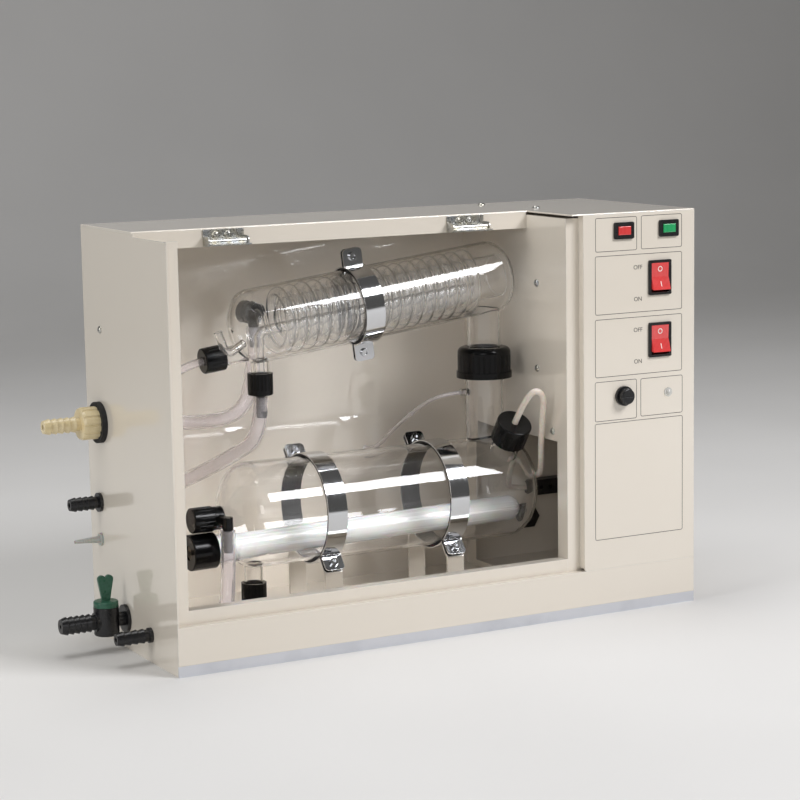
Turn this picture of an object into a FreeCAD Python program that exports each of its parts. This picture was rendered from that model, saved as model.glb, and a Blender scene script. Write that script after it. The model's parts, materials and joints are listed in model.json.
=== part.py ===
import FreeCAD
import Part
import math
import os

V = FreeCAD.Vector

# All sizes are in millimetres. Places are given across from the left side, back from
# the front face and up from the surface it stands on; save() moves the origin to the
# middle of the base.

# The cabinet
WIDTH = 550.0
DEPTH = 206.0
HEIGHT = 388.0
SHEET = 1.5
FLOOR_UP = 18.0
TRIM_UP = 10.0
PLINTH_UP = 44.5
SETBACK = 8.5
SILL_UP = 57.0
FRAME_SIDE = 13.0
SIDE_STEP = 4.5
RAIL_BACK = 80.0
RAIL_DROP = 17.0
STEP_BACK = RAIL_BACK - 4.0
BOX_WIDE = 127.0
BOX_LEFT = WIDTH - BOX_WIDE
WALL_FLANGE = 14.0
WALL_LEFT = BOX_LEFT - WALL_FLANGE
WALL_UP = HEIGHT - 4.0
CUT_FRONT = 26.0
CUT_REAR = 185.0
CUT_FOOT = 6.0
CUT_UP = 169.0
CORNER = 2.5

# Gaps between pieces
EASE = 0.3
RUN = 0.06
SLIP = 0.1

# The boiler, a dished glass drum lying left to right
BOILER_LEFT = 91.0
BOILER_THROUGH = 15.0
BOILER_RIGHT = WALL_LEFT + BOILER_THROUGH
MIDDLE = 107.0
BOILER_UP = 115.5
BOILER_R = 50.0
BOILER_KNUCKLE = 20.0
BOILER_CROWN = 70.0
BOILER_WALL = 2.5

# The riser, which carries the steam up to the condenser
RISER_FROM_WALL = 33.3
RISER_AT = WALL_LEFT - RISER_FROM_WALL
RISER_R = 18.5
RISER_THREAD_R = 22.4
RISER_WALL = 2.2
RISER_UNDER_TOP = 144.0
RISER_TOP = HEIGHT - RISER_UNDER_TOP
RISER_THREAD = 18.0
RISER_SEAL = 2.5
ARM_R = 16.2
ARM_LIP = 4.0
ARM_LIP_R = 21.5
ARM_WALL = 2.0
RISER_CAP_R = 26.0
RISER_CAP_H = 30.0
RISER_CAP_LIP = 5.0
RISER_CAP_BEAD = 1.2
RISER_CAP_ROUND = 5.5

# The leaning neck at the right of the boiler
NECK_AT = RISER_AT + 3.8
NECK_LEAN = 36.0
NECK_REACH = 85.5
NECK_R = 14.0
NECK_CAP_R = 17.2
NECK_CAP_H = 23.0

# The heater, under the middle of the drum, rising a little to the right
HEATER_UNDER = 29.5
HEATER_UP = BOILER_UP - HEATER_UNDER
HEATER_TILT = 1.0
HEATER_END = BOILER_RIGHT - 12.0
SHEATH_R = 12.4
SHEATH_WALL = 1.5
ELEMENT_R = 8.0
PIN_R = 1.6
PIN_OUT = 9.0

# Screw caps: outer radius, height, and radius of the glass neck inside
SMALL_R, SMALL_H, SMALL_NECK = 12.0, 20.5, 8.75
LARGE_R, LARGE_H, LARGE_NECK = 17.0, 25.0, 14.5
CAP_TOP = 2.0
CAP_SEAT = 1.5
NECK_WALL = 1.8

# The condenser, leaning up to the right
COND_LEFT = 106.6
COND_UP = RISER_TOP + 45.9
COND_TILT = 6.9
COND_FROM_WALL = 5.566
COND_LENGTH = (WALL_LEFT - COND_FROM_WALL - COND_LEFT) / math.cos(math.radians(COND_TILT))
COND_R = 35.0
COND_KNUCKLE = 14.0
COND_CROWN = 46.0
COND_WALL = 2.2
CORE_R = 21.0
CORE_WALL = 1.6
CORE_KNUCKLE = 8.0
CORE_CROWN = 28.0
CORE_START = 46.0
CORE_END = COND_LENGTH - 14.0
OUTLET_DOWN = 22.5
OUTLET_END = -31.0
COIL_TUBE_R = 4.8
COIL_R = 27.3
COIL_PITCH = 12.4
COIL_START = 42.0
COIL_TURNS = int((COND_LENGTH - COIL_START - 44.0) / COIL_PITCH)
COIL_BEND = 6.0
STUB_AT = COND_LEFT + 27.9
STUB_END = COND_UP - 58.6
ARM_REACH = 66.5
VENT_R = 4.0
VENT_BORE = 2.6

# Black collars that take water from the side of a neck
COLLAR_R = 11.0
COLLAR_WIDE = 8.5
SPOUT_R = 5.0

# Clamps
BAND = 1.2
BAND_WIDE = 20.0
LINING = 1.2
EAR = 16.0
CLAMP_GAP = 3.0
CLAMP_AT = (BOILER_LEFT + 95.5, BOILER_RIGHT - 106.5)
SPLIT = 51.0
COND_CLAMP_ALONG = 132.0
BOLT_R = 2.0
LEG_WIDE = 18.0
LEG_THICK = 2.5
STAND_OFF_R = 6.0

# Hoses
HOSE_R, HOSE_BORE = 7.0, 5.0
DRAIN_R, DRAIN_BORE = 4.6, 3.0
TUBE_R, TUBE_BORE = 4.0, 2.6
SLEEVE_R = 3.0
BALANCE_R = 2.0

# Ports on the left side: distance back and up
PORT_IN = (DEPTH - 34.0, 205.5)
PORT_OUT = (DEPTH - 26.2, 128.5)
PORT_PRODUCT = (DEPTH - 25.5, 92.9)
PORT_TAP = (123.0, 28.7)
PORT_LEVEL = (62.8, 25.6)
TAP_OUT = 19.6
UNION_STEM_R, PORT_STEM_R, PRODUCT_STEM_R, TAP_STEM_BODY_R = 8.7, 4.9, 2.9, 6.0
PORT_EASE = 0.3

# Control panel: across and up
NEON_AT = ((BOX_LEFT + 45.1, HEIGHT - 17.6), (BOX_LEFT + 96.5, HEIGHT - 17.6))
NEON_WIDE, NEON_TALL = 22.0, 16.0
LENS_WIDE, LENS_TALL = 14.0, 8.4
SWITCH_AT = ((BOX_LEFT + 86.3, HEIGHT - 64.4), (BOX_LEFT + 86.3, HEIGHT - 124.6))
SWITCH_WIDE, SWITCH_TALL = 25.5, 33.5
ROCKER_WIDE, ROCKER_TALL = 19.6, 26.0
ROCKER_PIVOT = 4.0
ROCKER_PIN_R = 1.2
ROCKER_TIP = 3.6
ROCKER_REST = 8.0
FUSE_AT = (BOX_LEFT + 44.7, HEIGHT - 176.2)
LAMP_AT = (BOX_LEFT + 96.1, HEIGHT - 176.7)

# Hinges for the lift-off cover
HINGE_WIDE = 40.0
HINGE_AT = (69.0, WALL_LEFT - 88.5)
HINGE_PIN_BACK = RAIL_BACK - 9.5
HINGE_PIN_UP = HEIGHT - 12.0
HINGE_PIN_R = 1.5
KNUCKLE_R = 3.0


def block(x0, x1, y0, y1, z0, z1):
    return Part.makeBox(x1 - x0, y1 - y0, z1 - z0, V(x0, y0, z0))


def rod(radius, start, axis, length):
    return Part.makeCylinder(radius, length, start, axis)


def pipe(radius, bore, start, axis, length):
    return rod(radius, start, axis, length).cut(rod(bore, start, axis, length))


def joined(shapes):
    result = shapes[0]
    if len(shapes) > 1:
        result = result.multiFuse(shapes[1:])
    return result.removeSplitter()


def stand(shape, start, axis):
    """Turns a piece made upright so that its Z lies along axis, and moves it to start."""
    placed = shape.copy()
    turn = FreeCAD.Rotation(V(0, 0, 1), axis)
    placed.Placement = FreeCAD.Placement(start, turn).multiply(placed.Placement)
    return placed


def save(name, shape):
    moved = shape.copy()
    moved.translate(V(-WIDTH / 2, -DEPTH / 2, 0))
    moved.exportStep("parts/" + name + ".step")
    solids = moved.Solids
    sound = all(s.isValid() for s in solids)
    print(f"{name}: {len(solids)} solid, valid {sound}, {moved.Volume / 1000:.2f} cm3")


def group(shapes):
    return Part.makeCompound(shapes)


def revolved(outline, turn_about=V(0, 0, 1)):
    face = Part.Face(Part.Wire(outline))
    return face.revolve(V(0, 0, 0), turn_about, 360)


def stepped(points):
    """A turned piece from its outline as (radius, height) points, closed on the axis."""
    corners = [V(r, 0, z) for r, z in points]
    corners.append(corners[0])
    return Part.Face(Part.makePolygon(corners)).revolve(V(0, 0, 0), V(0, 0, 1), 360)


def screw(head_r, head_h, shank_r, length):
    head = rod(head_r, V(0, 0, 0), V(0, 0, 1), head_h)
    rim = [e for e in head.Edges if abs(e.CenterOfMass.z - head_h) < 0.01]
    head = head.makeFillet(head_h * 0.45, rim[:1])
    slot = block(-head_r, head_r, -0.5, 0.5, head_h - 0.8, head_h + 1)
    cross = block(-0.5, 0.5, -head_r * 0.6, head_r * 0.6, head_h - 0.8, head_h + 1)
    slot = slot.common(rod(head_r * 0.6, V(0, 0, 0), V(0, 0, 1), head_h + 1))
    return head.cut(slot).cut(cross).fuse(rod(shank_r, V(0, 0, -length), V(0, 0, 1), length))


def hexagon(across_flats, height, bore):
    radius = across_flats / math.sqrt(3)
    corners = [V(radius * math.cos(math.radians(60 * i)), radius * math.sin(math.radians(60 * i)), 0)
               for i in range(7)]
    prism = Part.Face(Part.makePolygon(corners)).extrude(V(0, 0, height))
    if bore:
        prism = prism.cut(rod(bore, V(0, 0, 0), V(0, 0, 1), height))
    return prism


def barb(length, rib_r, core_r, bore, ribs, root=2.0):
    """A hose tail: a plain root, then saw-tooth ribs that slope towards its tip at the top."""
    pitch = (length - root) / ribs
    points = [(bore, 0), (core_r, 0), (core_r, root)]
    for i in range(ribs):
        foot = root + pitch * i
        if i:
            points.append((core_r, foot))
        points += [(rib_r, foot), (core_r, foot + pitch * 0.8)]
    points += [(core_r * 0.95, length), (bore, length)]
    return stepped(points)


def screw_cap(radius, height, neck, hole):
    """A cap with its open end at the bottom and its holed top at the height."""
    cap = rod(radius, V(0, 0, 0), V(0, 0, 1), height)
    rim = [e for e in cap.Edges if abs(e.CenterOfMass.z - height) < 0.01]
    cap = cap.makeFillet(CAP_TOP * 0.7, rim[:1])
    cap = cap.cut(rod(neck + EASE, V(0, 0, 0), V(0, 0, 1), height - CAP_TOP))
    if hole:
        cap = cap.cut(rod(hole, V(0, 0, 0), V(0, 0, 1), height))
    return cap


def dished(radius, knuckle, crown, length):
    """A drum along X with shallow domed ends, its left tip at the origin."""
    shoulder = crown - math.sqrt((crown - knuckle) ** 2 - (radius - knuckle) ** 2)
    left = V(crown, 0, 0)
    turn = V(shoulder, radius - knuckle, 0)
    away = (turn - left).normalize()
    meet = turn + away * knuckle
    half_crown = math.atan2(meet.y, left.x - meet.x) / 2
    crown_mid = left + V(-math.cos(half_crown), math.sin(half_crown), 0) * crown
    half_turn = (math.radians(90) - 2 * half_crown) / 2 + 2 * half_crown
    turn_mid = turn + V(-math.cos(half_turn), math.sin(half_turn), 0) * knuckle
    top = V(shoulder, radius, 0)

    def other(point):
        return V(length - point.x, point.y, 0)

    outline = [
        Part.Arc(V(0, 0, 0), crown_mid, meet).toShape(),
        Part.Arc(meet, turn_mid, top).toShape(),
        Part.makeLine(top, other(top)),
        Part.Arc(other(top), other(turn_mid), other(meet)).toShape(),
        Part.Arc(other(meet), other(crown_mid), V(length, 0, 0)).toShape(),
        Part.makeLine(V(length, 0, 0), V(0, 0, 0)),
    ]
    return revolved(outline, V(1, 0, 0))


# The condenser's own axis

def along_condenser(distance, down=0.0, back=0.0):
    tilt = math.radians(COND_TILT)
    ahead = V(math.cos(tilt), 0, math.sin(tilt))
    up = V(-math.sin(tilt), 0, math.cos(tilt))
    return V(COND_LEFT, MIDDLE + back, COND_UP) + ahead * distance - up * down


def condenser_axis():
    return (along_condenser(1.0) - along_condenser(0.0)).normalize()


def to_condenser(shape):
    """Takes a shape made along X from the origin to the condenser's axis."""
    placed = shape.copy()
    placed.rotate(V(0, 0, 0), V(0, 1, 0), -COND_TILT)
    placed.translate(V(COND_LEFT, MIDDLE, COND_UP))
    return placed


def neck_axis():
    lean = math.radians(NECK_LEAN)
    return V(0, -math.sin(lean), math.cos(lean))


def on_neck(reach):
    return V(NECK_AT, MIDDLE, BOILER_UP) + neck_axis() * reach


# The cabinet

def screw_places():
    """Each case screw: where its head sits, and which way the head faces."""
    side_back = DEPTH - 41.6
    side_up = HEIGHT - 95.2
    side = [(V(0, side_back, side_up), V(-1, 0, 0)), (V(WIDTH, side_back, side_up), V(1, 0, 0))]
    wall = [(V(WALL_LEFT, 61.5, HEIGHT - 68.8), V(-1, 0, 0)),
            (V(WALL_LEFT, 61.5, HEIGHT - 151.7), V(-1, 0, 0)),
            (V(WALL_LEFT, 34.0, CUT_UP + 9), V(-1, 0, 0))]
    top = [(V(BOX_LEFT - 5.0, DEPTH - 24.3, HEIGHT), V(0, 0, 1)),
           (V(BOX_LEFT + 12.0, DEPTH - 101.8, HEIGHT), V(0, 0, 1))]
    return side + wall + top


def hinge_screw_places():
    return [(V(x + step, RAIL_BACK - BAND, HINGE_PIN_UP + 5.5), V(0, -1, 0))
            for x in HINGE_AT for step in (12.0, 24.0)]


SCREW_SHANK = 1.9
SCREW_HEAD = 3.6


def drilled(shape, places, ease=SLIP):
    for place, away in places:
        shape = shape.cut(rod(SCREW_SHANK + ease, place - away * 12, away, 24))
    return shape


def base_tray():
    bottom = block(SHEET, WIDTH - SHEET, 0, DEPTH - SHEET, 0, SHEET)
    lip = block(0, WIDTH, 0, SHEET, 0, TRIM_UP)
    return joined([bottom, lip])


def floor_pan():
    x0, x1, y0, y1 = SHEET, WIDTH - SHEET, SHEET, DEPTH - SHEET
    pan = block(x0, x1, y0, y1, SHEET, FLOOR_UP)
    return pan.cut(block(x0 + SHEET, x1 - SHEET, y0 + SHEET, y1 - SHEET, SHEET, FLOOR_UP - SHEET))


def left_panel():
    panel = block(0, SHEET, 0, DEPTH, 0, HEIGHT - SHEET)
    panel = panel.cut(block(0, SHEET, 0, SHEET, 0, PLINTH_UP))
    panel = panel.cut(block(0, SHEET, 0, STEP_BACK, HEIGHT - SIDE_STEP, HEIGHT))
    for (back, up), stem in ((PORT_IN, UNION_STEM_R), (PORT_OUT, PORT_STEM_R),
                             (PORT_PRODUCT, PRODUCT_STEM_R), (PORT_TAP, TAP_STEM_BODY_R),
                             (PORT_LEVEL, PORT_STEM_R)):
        panel = panel.cut(rod(stem + PORT_EASE, V(-1, back, up), V(1, 0, 0), 4))
    return drilled(panel, screw_places()[:1])


def right_panel():
    panel = block(WIDTH - SHEET, WIDTH, SHEET, DEPTH, 0, HEIGHT - SHEET)
    return drilled(panel, screw_places()[1:2])


GLAND_AT = (BOX_LEFT + 59.0, 58.0)
GLAND_R = 8.0
CORD_R = 4.0
GROMMET_AT = (293.0, 149.0)
GROMMET_HOLE = BALANCE_R + EASE


def rear_panel():
    panel = block(SHEET, WIDTH - SHEET, DEPTH - SHEET, DEPTH, 0, HEIGHT - SHEET)
    panel = panel.cut(rod(GLAND_R + 0.2, V(GLAND_AT[0], DEPTH - 5, GLAND_AT[1]), V(0, 1, 0), 10))
    panel = panel.cut(rod(GROMMET_HOLE, V(GROMMET_AT[0], DEPTH - 5, GROMMET_AT[1]), V(0, 1, 0), 10))
    return panel


def top_panel():
    rear = block(0, WIDTH, RAIL_BACK, DEPTH, HEIGHT - SHEET, HEIGHT)
    over_box = block(WALL_LEFT + SHEET, WIDTH, 0, RAIL_BACK, HEIGHT - SHEET, HEIGHT)
    rail = block(SHEET, WALL_LEFT, RAIL_BACK, RAIL_BACK + SHEET, HEIGHT - RAIL_DROP, HEIGHT - SHEET)
    panel = joined([rear, over_box, rail])
    edges = []
    for e in panel.Edges:
        middle = e.CenterOfMass
        outer = abs(middle.y - DEPTH) < 0.01 or abs(middle.x) < 0.01 or abs(middle.x - WIDTH) < 0.01
        front = abs(middle.y - RAIL_BACK) < 0.01 and middle.x < WALL_LEFT
        if abs(middle.z - HEIGHT) < 0.01 and (outer or front or abs(middle.y) < 0.01):
            edges.append(e)
    panel = panel.makeFillet(SHEET * 0.8, edges)
    return drilled(panel, screw_places()[5:] + hinge_screw_places())


def front_frame():
    side = block(SHEET, SHEET + FRAME_SIDE, SETBACK, SETBACK + SHEET, FLOOR_UP, HEIGHT - SIDE_STEP)
    sill = block(SHEET, WALL_LEFT, SETBACK, SETBACK + SHEET, FLOOR_UP, SILL_UP)
    fold = block(SHEET, WALL_LEFT, SETBACK + SHEET, SETBACK + 12, SILL_UP - SHEET, SILL_UP)
    return joined([side, sill, fold])


def lower_front_panel():
    face = block(0, WIDTH, 0, SHEET, TRIM_UP, PLINTH_UP)
    ledge = block(SHEET, WIDTH - SHEET, SHEET, SETBACK, PLINTH_UP - SHEET, PLINTH_UP)
    return joined([face, ledge])


def partition():
    web = block(WALL_LEFT, WALL_LEFT + SHEET, SETBACK, DEPTH - SHEET, FLOOR_UP, WALL_UP)
    web = web.cut(block(WALL_LEFT, WALL_LEFT + SHEET, CUT_FRONT, CUT_REAR, FLOOR_UP + CUT_FOOT, CUT_UP))
    front = block(WALL_LEFT, BOX_LEFT + SHEET, SETBACK, SETBACK + SHEET, FLOOR_UP, WALL_UP)
    top = block(WALL_LEFT, BOX_LEFT + SHEET, SETBACK, DEPTH - SHEET, WALL_UP - SHEET, WALL_UP)
    return drilled(joined([web, front, top]), screw_places()[2:])


def control_panel():
    face = block(BOX_LEFT, WIDTH, 0, SHEET, PLINTH_UP, HEIGHT - SHEET)
    corner = [e for e in face.Edges
              if abs(e.CenterOfMass.x - BOX_LEFT) < 0.01 and abs(e.CenterOfMass.z - PLINTH_UP) < 0.01]
    face = face.makeFillet(CORNER, corner[:1])
    side = block(BOX_LEFT, BOX_LEFT + SHEET, SHEET, SETBACK, PLINTH_UP + CORNER, HEIGHT - SHEET)
    panel = joined([face, side])
    for x, z in NEON_AT:
        panel = panel.cut(block(x - NEON_WIDE / 2 + 2, x + NEON_WIDE / 2 - 2, -1, 3,
                                z - NEON_TALL / 2 + 2, z + NEON_TALL / 2 - 2))
    for x, z in SWITCH_AT:
        panel = panel.cut(block(x - SWITCH_WIDE / 2 + 1.6, x + SWITCH_WIDE / 2 - 1.6, -1, 3,
                                z - SWITCH_TALL / 2 + 1.6, z + SWITCH_TALL / 2 - 1.6))
    panel = panel.cut(rod(FUSE_BODY_R + 0.2, V(FUSE_AT[0], -1, FUSE_AT[1]), V(0, 1, 0), 4))
    return panel.cut(rod(LAMP_R + 0.2, V(LAMP_AT[0], -1, LAMP_AT[1]), V(0, 1, 0), 4))


def case_screws():
    one = screw(SCREW_HEAD, 2.4, SCREW_SHANK, 8.0)
    return group([stand(one, place, away) for place, away in screw_places() + hinge_screw_places()])


# The control panel's fittings

def neon_bezels():
    shapes = []
    for x, z in NEON_AT:
        rim = block(x - NEON_WIDE / 2, x + NEON_WIDE / 2, -2.2, 0, z - NEON_TALL / 2, z + NEON_TALL / 2)
        rim = rim.makeFillet(1.5, [e for e in rim.Edges if abs(e.CenterOfMass.y + 1.1) < 0.01])
        body = block(x - NEON_WIDE / 2 + 2.2, x + NEON_WIDE / 2 - 2.2, 0, 24,
                     z - NEON_TALL / 2 + 2.2, z + NEON_TALL / 2 - 2.2)
        hollow = block(x - LENS_WIDE / 2, x + LENS_WIDE / 2, -3, 18, z - LENS_TALL / 2, z + LENS_TALL / 2)
        shapes.append(joined([rim, body]).cut(hollow))
    return group(shapes)


def neon_lens(place):
    x, z = place
    lens = block(x - LENS_WIDE / 2 + SLIP, x + LENS_WIDE / 2 - SLIP, -3.4, 14,
                 z - LENS_TALL / 2 + SLIP, z + LENS_TALL / 2 - SLIP)
    return lens.makeFillet(0.8, [e for e in lens.Edges if abs(e.CenterOfMass.y + 3.4) < 0.01])


def rocker_bezels():
    shapes = []
    for x, z in SWITCH_AT:
        rim = block(x - SWITCH_WIDE / 2, x + SWITCH_WIDE / 2, -2.0, 0,
                    z - SWITCH_TALL / 2, z + SWITCH_TALL / 2)
        rim = rim.makeFillet(1.2, [e for e in rim.Edges if abs(e.CenterOfMass.y + 1.0) < 0.01])
        half_w = SWITCH_WIDE / 2 - 1.75
        half_t = SWITCH_TALL / 2 - 1.75
        body = block(x - half_w, x + half_w, 0, 24, z - half_t, z + half_t)
        pocket_w = ROCKER_WIDE / 2 + EASE
        pocket_t = ROCKER_TALL / 2 + 1.3
        pocket = block(x - pocket_w, x + pocket_w, -3, 16, z - pocket_t, z + pocket_t)
        bore = rod(ROCKER_PIN_R + RUN, V(x - 12.5, ROCKER_PIVOT, z), V(1, 0, 0), 25)
        shapes.append(joined([rim, body]).cut(pocket).cut(bore))
    return group(shapes)


def rocker(place):
    """Rests switched off: its top half pressed in and its lower half standing out."""
    x, z = place
    tall = ROCKER_TALL / 2
    corners = [V(0, -1.2, 0), V(0, -ROCKER_TIP, tall), V(0, 5.0, tall - 3), V(0, 7.0, 0),
               V(0, 5.0, 3 - tall), V(0, -ROCKER_TIP, -tall)]
    side = Part.Face(Part.makePolygon(corners + corners[:1]))
    key = side.extrude(V(ROCKER_WIDE, 0, 0))
    key.translate(V(-ROCKER_WIDE / 2, 0, 0))
    pin = rod(ROCKER_PIN_R, V(-SWITCH_WIDE / 2 + 1.95, ROCKER_PIVOT, 0), V(1, 0, 0), SWITCH_WIDE - 3.9)
    key = joined([key, pin])
    key.rotate(V(0, ROCKER_PIVOT, 0), V(1, 0, 0), -ROCKER_REST)
    key.translate(V(x, 0, z))
    return key


FUSE_BORE = 6.2
FUSE_BODY_R = 7.2
FUSE_FLANGE_R = 9.5
LAMP_R = 3.0


def fuse_holder():
    body = joined([rod(FUSE_FLANGE_R, V(0, 0, 0), V(0, 0, 1), 3.0),
                   rod(FUSE_BODY_R, V(0, 0, -34), V(0, 0, 1), 34)])
    body = body.cut(rod(FUSE_BORE, V(0, 0, -30), V(0, 0, 1), 40))
    return stand(body, V(FUSE_AT[0], 0, FUSE_AT[1]), V(0, -1, 0))


def fuse_cap():
    head = rod(7.6, V(0, 0, 3.2), V(0, 0, 1), 6.0)
    head = head.makeFillet(1.6, [e for e in head.Edges if abs(e.CenterOfMass.z - 9.2) < 0.01][:1])
    head = head.cut(block(-8, 8, -0.8, 0.8, 8.0, 10.0))
    stem = rod(FUSE_BORE - RUN, V(0, 0, -14), V(0, 0, 1), 17.4)
    return stand(joined([head, stem]), V(FUSE_AT[0], 0, FUSE_AT[1]), V(0, -1, 0))


def indicator_lamp():
    stem = rod(3.1, V(0, 0, -12), V(0, 0, 1), 12.0)
    flange = rod(4.4, V(0, 0, 0), V(0, 0, 1), 1.2)
    dome = Part.makeSphere(LAMP_R, V(0, 0, 1.2)).common(rod(LAMP_R, V(0, 0, 1.0), V(0, 0, 1), 4))
    return stand(joined([stem, flange, dome]), V(LAMP_AT[0], 0, LAMP_AT[1]), V(0, -1, 0))


# Soft tubes and cords

def route(name, points, share=0.45, limit=1e9):
    """Straight runs joined by tangent arcs, each as wide as its shorter run allows."""
    edges = []
    start = points[0]
    radii = []
    for i in range(1, len(points) - 1):
        back = points[i - 1] - points[i]
        ahead = points[i + 1] - points[i]
        half = (math.pi - back.getAngle(ahead)) / 2
        radius = min(share * min(back.Length, ahead.Length) / math.tan(half), limit)
        radii.append(round(radius, 1))
        back.normalize()
        ahead.normalize()
        tangent = radius * math.tan(half)
        first = points[i] + back * tangent
        last = points[i] + ahead * tangent
        inward = (back + ahead).normalize()
        middle = points[i] + inward * (radius / math.cos(half) - radius)
        edges.append(Part.LineSegment(start, first).toShape())
        edges.append(Part.Arc(first, middle, last).toShape())
        start = last
    edges.append(Part.LineSegment(start, points[-1]).toShape())
    wire = Part.Wire(edges)
    print(f"{name}: length {wire.Length:.1f}, bend radii {radii}")
    return wire


def swept(wire, start, ahead, radius):
    circle = Part.Wire(Part.makeCircle(radius, start, ahead))
    return Part.Solid(wire.makePipeShell([circle], True, False))


def tube(name, points, radius, bore=0.0, share=0.45, limit=1e9):
    wire = route(name, points, share, limit)
    ahead = points[1] - points[0]
    outer = swept(wire, points[0], ahead, radius)
    expected = math.pi * (radius ** 2 - bore ** 2) * wire.Length
    if bore:
        outer = outer.cut(swept(wire, points[0], ahead, bore))
    print(f"{name}: volume over section times length {outer.Volume / expected:.3f}")
    return outer


def bent(points, radius, bend):
    """A rigid tube along points, with every bend of the same radius."""
    wire = route("rigid tube", points, 1.0, bend)
    return swept(wire, points[0], points[1] - points[0], radius)


# The boiler

LEVEL_UP = BOILER_UP + 0.5
LEVEL_NECK_END = 62.0
COLLAR_AT = 86.3
COLLAR_FORWARD = 25.5
DRAIN_AT = 122.5
DRAIN_END = 33.6
HEATER_NECK_END = 60.5
NIPPLE_UP = RISER_TOP - 32.0
NIPPLE_R = 3.4
NIPPLE_OUT = 8.0
WEEP_R = 3.0


def heater_axis():
    tilt = math.radians(HEATER_TILT)
    return V(math.cos(tilt), 0, math.sin(tilt))


def on_heater(across):
    return V(HEATER_NECK_END, MIDDLE, HEATER_UP) + heater_axis() * (across - HEATER_NECK_END)


def boiler_vessel():
    middle = V(0, MIDDLE, BOILER_UP)
    length = BOILER_RIGHT - BOILER_LEFT
    drum = dished(BOILER_R, BOILER_KNUCKLE, BOILER_CROWN, length)
    drum.translate(middle + V(BOILER_LEFT, 0, 0))
    wall = BOILER_WALL
    space = dished(BOILER_R - wall, BOILER_KNUCKLE - wall, BOILER_CROWN - wall, length - 2 * wall)
    space.translate(middle + V(BOILER_LEFT + wall, 0, 0))
    up = V(0, 0, 1)
    left = V(-1, 0, 0)
    riser = middle + V(RISER_AT, 0, 0)
    end = RISER_TOP - BOILER_UP
    heater = on_heater(BOILER_LEFT + 25)
    heater_run = BOILER_LEFT + 25 - HEATER_NECK_END
    level = V(BOILER_LEFT + 20, MIDDLE, LEVEL_UP)
    level_run = level.x - LEVEL_NECK_END
    drain = V(DRAIN_AT, MIDDLE, BOILER_UP - BOILER_R / 2)
    drain_run = drain.z - DRAIN_END
    nipple = V(RISER_AT, MIDDLE, NIPPLE_UP)
    outer = [
        drum,
        rod(RISER_R, riser, up, end),
        rod(RISER_THREAD_R, riser + up * (end - RISER_THREAD), up, RISER_THREAD),
        rod(NECK_R, on_neck(20), neck_axis(), NECK_REACH - 20),
        rod(SMALL_NECK, level, left, level_run),
        rod(LARGE_NECK, heater, -heater_axis(), heater_run),
        rod(SMALL_NECK, drain, -up, drain_run),
        rod(NIPPLE_R, nipple, left, RISER_R + NIPPLE_OUT),
    ]
    inner = [
        space,
        rod(RISER_R - RISER_WALL, riser, up, end),
        rod(NECK_R - NECK_WALL, on_neck(20), neck_axis(), NECK_REACH - 20),
        rod(SMALL_NECK - NECK_WALL, level, left, level_run),
        rod(SHEATH_R + SLIP, heater, -heater_axis(), heater_run),
        rod(SMALL_NECK - NECK_WALL, drain, -up, drain_run),
        rod(BALANCE_R + SLIP, nipple, left, RISER_R + NIPPLE_OUT),
        rod(WEEP_R, V(COLLAR_AT, MIDDLE, LEVEL_UP), V(0, -1, 0), SMALL_NECK + 1),
    ]
    return joined(outer).cut(joined(inner))


def heater_sheath():
    length = HEATER_END - HEATER_NECK_END
    outer = joined([rod(SHEATH_R, V(0, 0, 0), V(0, 0, 1), length - SHEATH_R),
                    Part.makeSphere(SHEATH_R, V(0, 0, length - SHEATH_R))])
    bore = SHEATH_R - SHEATH_WALL
    inner = joined([rod(bore, V(0, 0, 0), V(0, 0, 1), length - SHEATH_R),
                    Part.makeSphere(bore, V(0, 0, length - SHEATH_R))])
    outer = outer.common(block(-50, 50, -50, 50, 0, length + 1))
    return stand(outer.cut(inner), on_heater(HEATER_NECK_END), heater_axis())


def heater_element():
    length = HEATER_END - HEATER_NECK_END - 2 * SHEATH_R
    head = rod(LARGE_NECK, V(0, 0, -CAP_SEAT), V(0, 0, 1), CAP_SEAT)
    core = rod(ELEMENT_R, V(0, 0, 0), V(0, 0, 1), length)
    pins = [rod(PIN_R, V(0, y, -CAP_SEAT - CAP_TOP - PIN_OUT), V(0, 0, 1), PIN_OUT + CAP_TOP + 1)
            for y in (-3.6, 3.6)]
    return stand(joined([head, core] + pins), on_heater(HEATER_NECK_END), heater_axis())


def ribbed(cap, radius, height, ribs):
    """Grooves down the side of a cap, for the fingers."""
    for i in range(ribs):
        turn = math.radians(360 / ribs * i)
        place = V((radius + 0.25) * math.cos(turn), (radius + 0.25) * math.sin(turn), -1)
        cap = cap.cut(rod(0.8, place, V(0, 0, 1), height * 0.75 + 1))
    return cap


def heater_cap():
    cap = screw_cap(LARGE_R, LARGE_H, LARGE_NECK, 7.0)
    seat = on_heater(HEATER_NECK_END) + heater_axis() * (LARGE_H - CAP_TOP - CAP_SEAT)
    return stand(cap, seat, -heater_axis())


def boiler_neck_cap():
    cap = ribbed(screw_cap(NECK_CAP_R, NECK_CAP_H, NECK_R, SLEEVE_R + EASE), NECK_CAP_R, NECK_CAP_H, 24)
    return stand(cap, on_neck(NECK_REACH - NECK_CAP_H + CAP_TOP), neck_axis())


def riser_top():
    return RISER_TOP + RISER_SEAL + ARM_LIP


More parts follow.
